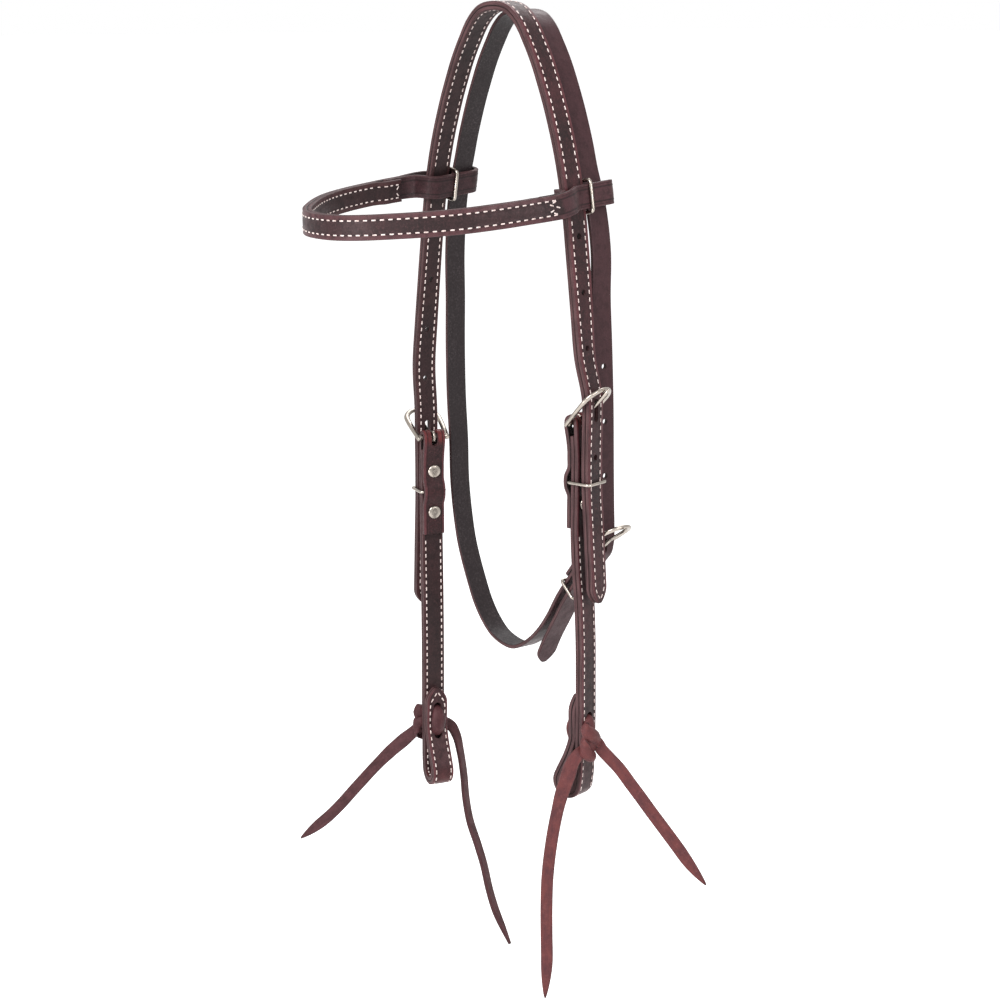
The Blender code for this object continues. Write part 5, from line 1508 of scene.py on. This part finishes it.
def make_tails():
    for name in LACE_ROUTES:
        route = Route(lace_rows(name), facing_lace)
        flare = (lambda distance: eased_value(TAIL_FLARE_ROWS, distance)) if name.endswith("front") else None
        shape = Shape(0.0, route.length, LACE_WIDTH / 2, end_tip=LACE_TAPER, blunt=LACE_TIP_SHARE,
                      swell=flare)
        item = lace_piece(route, shape)
        finish = FINISHES[name.split("_")[0] + "_lace"]
        dress(item, name + "_lace", finish, "headstall", "lace_leather", name)
        count = round(route.length / STRAP_STEP)
        path = [tuple(route.at(route.length * part / count)[0]) for part in range(count + 1)]


def make_metal(item, name, body, node):
    dress(item, name, FINISHES["steel"], body, "steel", node)


def make_buckles():
    places = [(prefix, side_place(sign), tilt) for prefix, sign, tilt in SIDES]
    places.append(("throat_", throat_place(), THROAT_FRAME_TILT - THROAT_END_TILT))
    for prefix, place, tilt in places:
        bulge = THROAT_FRAME_BULGE if prefix == "throat_" else FRAME_BULGE
        make_metal(buckle_frame(place, tilt, bulge), prefix + "buckle_horseshoe",
                   prefix + "buckle_frame_body", prefix + "buckle_frame")
        make_metal(buckle_tongue(place, tilt), prefix + "buckle_wire_tongue",
                   prefix + "buckle_tongue_body", prefix + "buckle_tongue")


def make_keepers():
    places = [(prefix, side_place(sign), KEEPER_DROP, KEEPER_INNER_OUT, KEEPER_OUTER_OUT)
              for prefix, sign, _ in SIDES]
    places.append(("throat_", throat_place(), THROAT_KEEPER_DROP, THROAT_KEEPER_INNER, THROAT_KEEPER_OUTER))
    for prefix, place, drop, inner, outer in places:
        centre = place.at((inner + outer) / 2, 0.0, -drop)
        points = rounded_rectangle(
            centre, place.out, place.back, (outer - inner) / 2, KEEPER_HALF_WIDTH, WIRE_CORNER)
        make_metal(swept(points, KEEPER_WIRE_RADIUS, cyclic=True), prefix + "keeper_bent_wire",
                   prefix + "keeper_wire_body", prefix + "keeper_wire")
    for prefix, sign, _ in SIDES:
        up = Vector((-sign * math.sin(BAND_LEAN), 0.0, math.cos(BAND_LEAN)))
        side = Vector((sign * math.cos(BAND_LEAN), 0.0, math.sin(BAND_LEAN)))
        centre = Vector((sign * LOOP_MIDDLE, BAND_WIRE_BACK, -BAND_DEPTH + BAND_SLOPE * BAND_WIRE_BACK))
        half = (LOOP_OUTER - LOOP_INNER + PLY) / 2 + GAP + BAND_WIRE_RADIUS
        points = rounded_rectangle(centre, side, up, half, BAND_WIRE_HALF_HEIGHT, WIRE_CORNER)
        make_metal(swept(points, BAND_WIRE_RADIUS, cyclic=True), prefix + "browband_bent_wire",
                   prefix + "band_loop", prefix + "browband_wire_loop")


def make_screws():
    outer = CHEEK_FRONT_OUT + PLY / 2
    inner = CHEEK_FRONT_OUT - 2 * LAYER_STEP - PLY / 2
    throat_face = LAYER_STEP / 2 + PLY / 2
    screws = []
    for prefix, sign, _ in SIDES:
        for level, drop in (("upper", UPPER_SCREW_DROP), ("lower", LOWER_SCREW_DROP)):
            screws.append((prefix + level + "_screw", side_place(sign), drop, outer, inner))
    screws.append(("throat_screw", throat_place(), THROAT_SCREW_DROP, throat_face, -throat_face))
    for name, place, drop, outside, inside in screws:
        for end, face, way, (grip_share, shank_share) in (
                ("_post", outside, 1.0, POST_SHARES), ("_cap", inside, -1.0, CAP_SHARES)):
            profile = screw_profile((outside - inside) * grip_share, SCREW_HEAD_RADIUS * shank_share)
            head = turned(profile, place.at(face + way * GAP, 0.0, -drop), place.out * way, place.back)
            make_metal(head, name + end + "_head", "headstall", name + end)


def make_stitching(pitch, band_pitch):
    thread = FINISHES["thread"]
    height = PLY / 2 - SEAM_DEPTH + STITCH_LIFT
    lines = seam_lines(crown_shape(), CROWN_ROW)
    loops = [CROWN.nearest_reach(point) for point in BAND.points if abs(point.y) < STRAP_WIDTH / 2]

    def crown_height(distance):
        """From the crown's middle to its stitches, which the browband's loops press in where they slide."""
        pressed = any(abs(distance - loop) < PRESSED_REACH for loop in loops)
        return LAYER_STEP / 2 + height - (PRESSED_DEPTH if pressed else 0.0)

    for side, facing in (("outside", -1.0), ("inside", 1.0)):
        seam = (CROWN, lines, pitch, lambda distance, facing=facing: facing * crown_height(distance), facing)
        sew("crown_stitches_" + side, [seam], thread, "headstall")
    for prefix, sign, _ in SIDES:
        route = CHEEKS[sign]
        shape = Shape(0.0, route.length, end_tip=TIP_LENGTH)
        place = side_place(sign)
        line = (place.at(CHEEK_FRONT_OUT, 0.0, -ROW_START_DROP), place.out)
        starts = route.crossings(line, over_bar(route, place))
        lines = seam_lines(shape, CHEEK_ROW, start=starts[0])
        last = route.length - TIP_SEAM_INSET
        lines = [[point for point in line if point.x < last - TIP_LENGTH / 2] +
                 [Vector((last, line[-1].y / 4, 0.0))] for line in lines]
        seams = [(route, lines, pitch, sign * height, sign),
                 (route, lines, pitch, -sign * (LAYER_STEP + height), -sign)]
        sew(prefix + "cheek_stitches", seams, thread, "headstall")
    facing = band_facing()
    start = band_distance(BAND, LINING_START_SHARE) + TIP_SEAM_INSET
    lines = seam_lines(Shape(0.0, BAND.length), BAND_ROW, start=start, end=BAND.length - start)
    zigzag, fishtail = [], []
    for end, sense in ((start, 1.0), (BAND.length - start, -1.0)):
        for drawn, shares in ((zigzag, ZIGZAG_SHARES), (fishtail, FISHTAIL_SHARES)):
            drawn.append([Vector((end + sense * along * band_pitch, share * BAND_ROW, 0.0))
                          for along, share in shares])
    seams = [(BAND, lines + zigzag, band_pitch, facing * height, facing)]
    sew("browband_stitches_outside", seams, thread, "browband")
    seams = [(BAND, lines + fishtail, band_pitch,
              lambda distance: band_lining_offset(distance) - facing * height, -facing)]
    sew("browband_stitches_inside", seams, thread, "browband")


# Camera, floor and light

CAMERA_AZIMUTH = math.radians(52.0)
CAMERA_ELEVATION = math.radians(13.0)
CAMERA_TARGET = Vector((0.0, -0.0015, -0.3334))
CAMERA_LENS = 77.4
CAMERA_SENSOR = 36.0
FLOOR_DEPTH = 0.72
FLOOR_SIZE = 90.0
LAMP_DISTANCE = 1.6
PAPER_GREY = 0.86
PAPER_ROUGHNESS = 0.9
PAPER_GLOW = 0.62
# Each lamp: its size, and where it stands as seen from the headstall
LAMPS = {
    "key": (0.9, (0.35, -0.8, 0.75)),
    "fill": (0.7, (0.95, 0.1, 0.35)),
    "front": (0.5, (0.12, -1.0, -0.05)),
    "back": (0.9, (-0.4, 0.5, 0.9)),
}


def lamp(name, power, size, place):
    data = bpy.data.lights.new(name, "AREA")
    data.energy = power
    data.shape = "DISK"
    data.size = size
    item = link(name, data)
    item.location = place
    item.rotation_euler = (CAMERA_TARGET - place).to_track_quat("-Z", "Y").to_euler()


def seen_white(tree):
    """One where the camera, a reflection or something seen through looks at a white background."""
    path = tree.nodes.new("ShaderNodeLightPath")
    seen = path.outputs["Is Camera Ray"]
    for output in ("Is Glossy Ray", "Is Transmission Ray"):
        most = tree.nodes.new("ShaderNodeMath")
        most.operation = "MAXIMUM"
        tree.links.new(seen, most.inputs[0])
        tree.links.new(path.outputs[output], most.inputs[1])
        seen = most.outputs[0]
    return seen


def make_stage(settings):
    bpy.context.scene.view_settings.view_transform = "Standard"
    back = Vector((math.cos(CAMERA_ELEVATION) * math.sin(CAMERA_AZIMUTH),
                   -math.cos(CAMERA_ELEVATION) * math.cos(CAMERA_AZIMUTH), math.sin(CAMERA_ELEVATION)))
    data = bpy.data.cameras.new("camera")
    data.lens = CAMERA_LENS
    data.sensor_width = CAMERA_SENSOR
    data.sensor_fit = "HORIZONTAL"
    data.clip_start = FINE_STEP
    camera = link("camera", data)
    camera.location = CAMERA_TARGET + back * settings.distance
    camera.rotation_euler = (-back).to_track_quat("-Z", "Y").to_euler()
    bpy.context.scene.camera = camera

    world = bpy.data.worlds.new("white_studio")
    bpy.context.scene.world = world
    world.use_nodes = True
    tree = world.node_tree
    shader = tree.nodes["Background"]
    shader.inputs["Color"].default_value = (1.0, 1.0, 1.0, 1.0)
    strength = tree.nodes.new("ShaderNodeMapRange")
    tree.links.new(seen_white(tree), strength.inputs["Value"])
    strength.inputs["To Min"].default_value = settings.world
    strength.inputs["To Max"].default_value = 1.0
    tree.links.new(strength.outputs[0], shader.inputs["Strength"])

    deselect()
    bpy.ops.mesh.primitive_plane_add(size=FLOOR_SIZE, location=(0.0, 0.0, 0.0))
    floor = bpy.context.object
    for vert in floor.data.vertices:
        vert.co.z = -FLOOR_DEPTH
    floor.name = "floor"
    paper = bpy.data.materials.new("white_paper")
    paper.use_nodes = True
    tree = paper.node_tree
    shader = tree.nodes["Principled BSDF"]
    shader.inputs["Base Color"].default_value = (PAPER_GREY, PAPER_GREY, PAPER_GREY, 1.0)
    shader.inputs["Roughness"].default_value = PAPER_ROUGHNESS
    shader.inputs["Emission Color"].default_value = (1.0, 1.0, 1.0, 1.0)
    glow = tree.nodes.new("ShaderNodeMath")
    glow.operation = "MULTIPLY"
    tree.links.new(seen_white(tree), glow.inputs[0])
    glow.inputs[1].default_value = PAPER_GLOW
    tree.links.new(glow.outputs[0], shader.inputs["Emission Strength"])
    floor.data.materials.append(paper)

    for name, (size, stand) in LAMPS.items():
        power = settings.key if name == "key" else settings.fill
        lamp(name + "_lamp", power, size, CAMERA_TARGET + Vector(stand).normalized() * LAMP_DISTANCE)


# Operators

class HEADSTALL_OT_finishes(bpy.types.Operator):
    """Makes the leathers, the thread and the steel"""
    bl_idname = "headstall.finishes"
    bl_label = "Finishes"

    def execute(self, context):
        leather = context.scene.headstall_leather
        metal = context.scene.headstall_metal
        margin, centre, pulled, edge = (tuple(colour) for colour in (
            leather.margin, leather.centre, leather.pulled, leather.edge))
        lining, throat, flesh = tuple(leather.lining), tuple(leather.throat), tuple(leather.flesh)
        dull = leather.roughness
        half = STRAP_WIDTH / 2
        for key, row in (("crown", CROWN_ROW), ("cheek", CHEEK_ROW), ("band", BAND_ROW)):
            tight, loops = PULLED_BENDS, None
            if key == "band":
                tight, start = BAND_PULLED_BENDS, band_distance(BAND, LINING_START_SHARE)
                margin = tuple(leather.band_margin)
                # The near loop is painted lighter as painted light, and the far loop darker as painted shade
                loop_light_shade = [tone(throat, share) for share in LOOP_LIGHT_AND_SHADE_TONES]
                if BAND.at(0.0)[0].x < 0:
                    loop_light_shade.reverse()
                loops = (start, BAND.length - start, *loop_light_shade)
            FINISHES[key] = strap_leather(key + "_oxblood", margin, centre, pulled, edge, row, under=centre,
                                          tight=tight, loops=loops, roughness=dull)
            FINISHES[key + "_lining"] = strap_leather(
                key + "_dark_lining", lining, centre, pulled, edge, row, roughness=dull + 0.05)
        FINISHES["throat"] = strap_leather(
            "throatlatch_leather", throat, throat, pulled, edge, half, flesh=flesh, roughness=dull + 0.04)
        lace, shade = tuple(leather.lace), tuple(leather.lace_dark_and_far_shade)
        deep = tone(shade, 0.55)
        FINISHES["near_lace"] = lace_leather("red_lace_leather", lace, shade, deep)
        # The far laces are the near laces' leather, painted darker as painted shade
        FINISHES["far_lace"] = lace_leather("far_shaded_lace_leather", shade, deep, deep)
        FINISHES["thread"] = waxed_thread("pale_thread", tuple(leather.thread))
        FINISHES["steel"] = warm_steel("warm_stainless_steel", tuple(metal.steel), metal.roughness)
        return {"FINISHED"}


class HEADSTALL_OT_crown(bpy.types.Operator):
    """Cuts and lays the two layers of the crown, with its pointed ends and their holes"""
    bl_idname = "headstall.crown"
    bl_label = "Crown Strap"

    def execute(self, context):
        make_crown()
        return {"FINISHED"}


class HEADSTALL_OT_cheeks(bpy.types.Operator):
    """Cuts and lays both cheeks, folded over their buckles and turned up round the bit eyes"""
    bl_idname = "headstall.cheeks"
    bl_label = "Cheek Straps"

    def execute(self, context):
        make_cheeks()
        return {"FINISHED"}


class HEADSTALL_OT_browband(bpy.types.Operator):
    """Cuts and lays the browband with its end loops and its shorter lining"""
    bl_idname = "headstall.browband"
    bl_label = "Browband"

    def execute(self, context):
        make_browband()
        return {"FINISHED"}


class HEADSTALL_OT_throatlatch(bpy.types.Operator):
    """Cuts and lays the single strap of the throatlatch"""
    bl_idname = "headstall.throatlatch"
    bl_label = "Throatlatch"

    def execute(self, context):
        make_throatlatch()
        return {"FINISHED"}


class HEADSTALL_OT_stitching(bpy.types.Operator):
    """Sews the rows of the crown, the cheeks and the browband"""
    bl_idname = "headstall.stitching"
    bl_label = "Stitching"

    def execute(self, context):
        sewing = context.scene.headstall_sewing
        make_stitching(sewing.pitch, sewing.band_pitch)
        return {"FINISHED"}


class HEADSTALL_OT_laces(bpy.types.Operator):
    """Ties the laces: a knot on each cheek, and its two hanging tails"""
    bl_idname = "headstall.laces"
    bl_label = "Tie Laces"

    def execute(self, context):
        make_knots()
        make_tails()
        return {"FINISHED"}


class HEADSTALL_OT_buckles(bpy.types.Operator):
    """Makes the three horseshoe buckles and their wire tongues"""
    bl_idname = "headstall.buckles"
    bl_label = "Buckles"

    def execute(self, context):
        make_buckles()
        return {"FINISHED"}


class HEADSTALL_OT_keepers(bpy.types.Operator):
    """Bends the wire keepers and the wire loops of the browband"""
    bl_idname = "headstall.keepers"
    bl_label = "Wire Keepers"

    def execute(self, context):
        make_keepers()
        return {"FINISHED"}


class HEADSTALL_OT_screws(bpy.types.Operator):
    """Turns the domed screw posts and caps"""
    bl_idname = "headstall.screws"
    bl_label = "Screws"

    def execute(self, context):
        make_screws()
        return {"FINISHED"}


class HEADSTALL_OT_stage(bpy.types.Operator):
    """Sets the camera, the floor and the lights"""
    bl_idname = "headstall.stage"
    bl_label = "Stage"

    def execute(self, context):
        make_stage(context.scene.headstall_stage)
        return {"FINISHED"}


STEPS = ("stage", "finishes", "laces", "crown", "cheeks", "browband", "throatlatch", "stitching", "buckles",
         "keepers", "screws")


class HEADSTALL_PT_panel(bpy.types.Panel):
    """The headstall's settings and steps"""
    bl_label = "Western Headstall"
    bl_space_type = "VIEW_3D"
    bl_region_type = "UI"
    bl_category = "Headstall"

    def draw(self, context):
        for group in ("leather", "sewing", "metal", "stage"):
            settings = getattr(context.scene, "headstall_" + group)
            box = self.layout.box()
            for name in settings.__annotations__:
                box.prop(settings, name)
        for step in STEPS:
            self.layout.operator("headstall." + step)


GROUPS = {"leather": HEADSTALL_PG_leather, "sewing": HEADSTALL_PG_sewing, "metal": HEADSTALL_PG_metal,
          "stage": HEADSTALL_PG_stage}
CLASSES = (*GROUPS.values(), HEADSTALL_OT_finishes, HEADSTALL_OT_crown, HEADSTALL_OT_cheeks,
           HEADSTALL_OT_browband, HEADSTALL_OT_throatlatch, HEADSTALL_OT_stitching, HEADSTALL_OT_laces,
           HEADSTALL_OT_buckles, HEADSTALL_OT_keepers, HEADSTALL_OT_screws, HEADSTALL_OT_stage,
           HEADSTALL_PT_panel)


def register():
    for item in CLASSES:
        bpy.utils.register_class(item)
    for name, group in GROUPS.items():
        setattr(bpy.types.Scene, "headstall_" + name, bpy.props.PointerProperty(type=group))


def unregister():
    for name in GROUPS:
        delattr(bpy.types.Scene, "headstall_" + name)
    for item in reversed(CLASSES):
        bpy.utils.unregister_class(item)


def main():
    register()
    for step in STEPS:
        getattr(bpy.ops.headstall, step)()


if __name__ == "__main__":
    main()
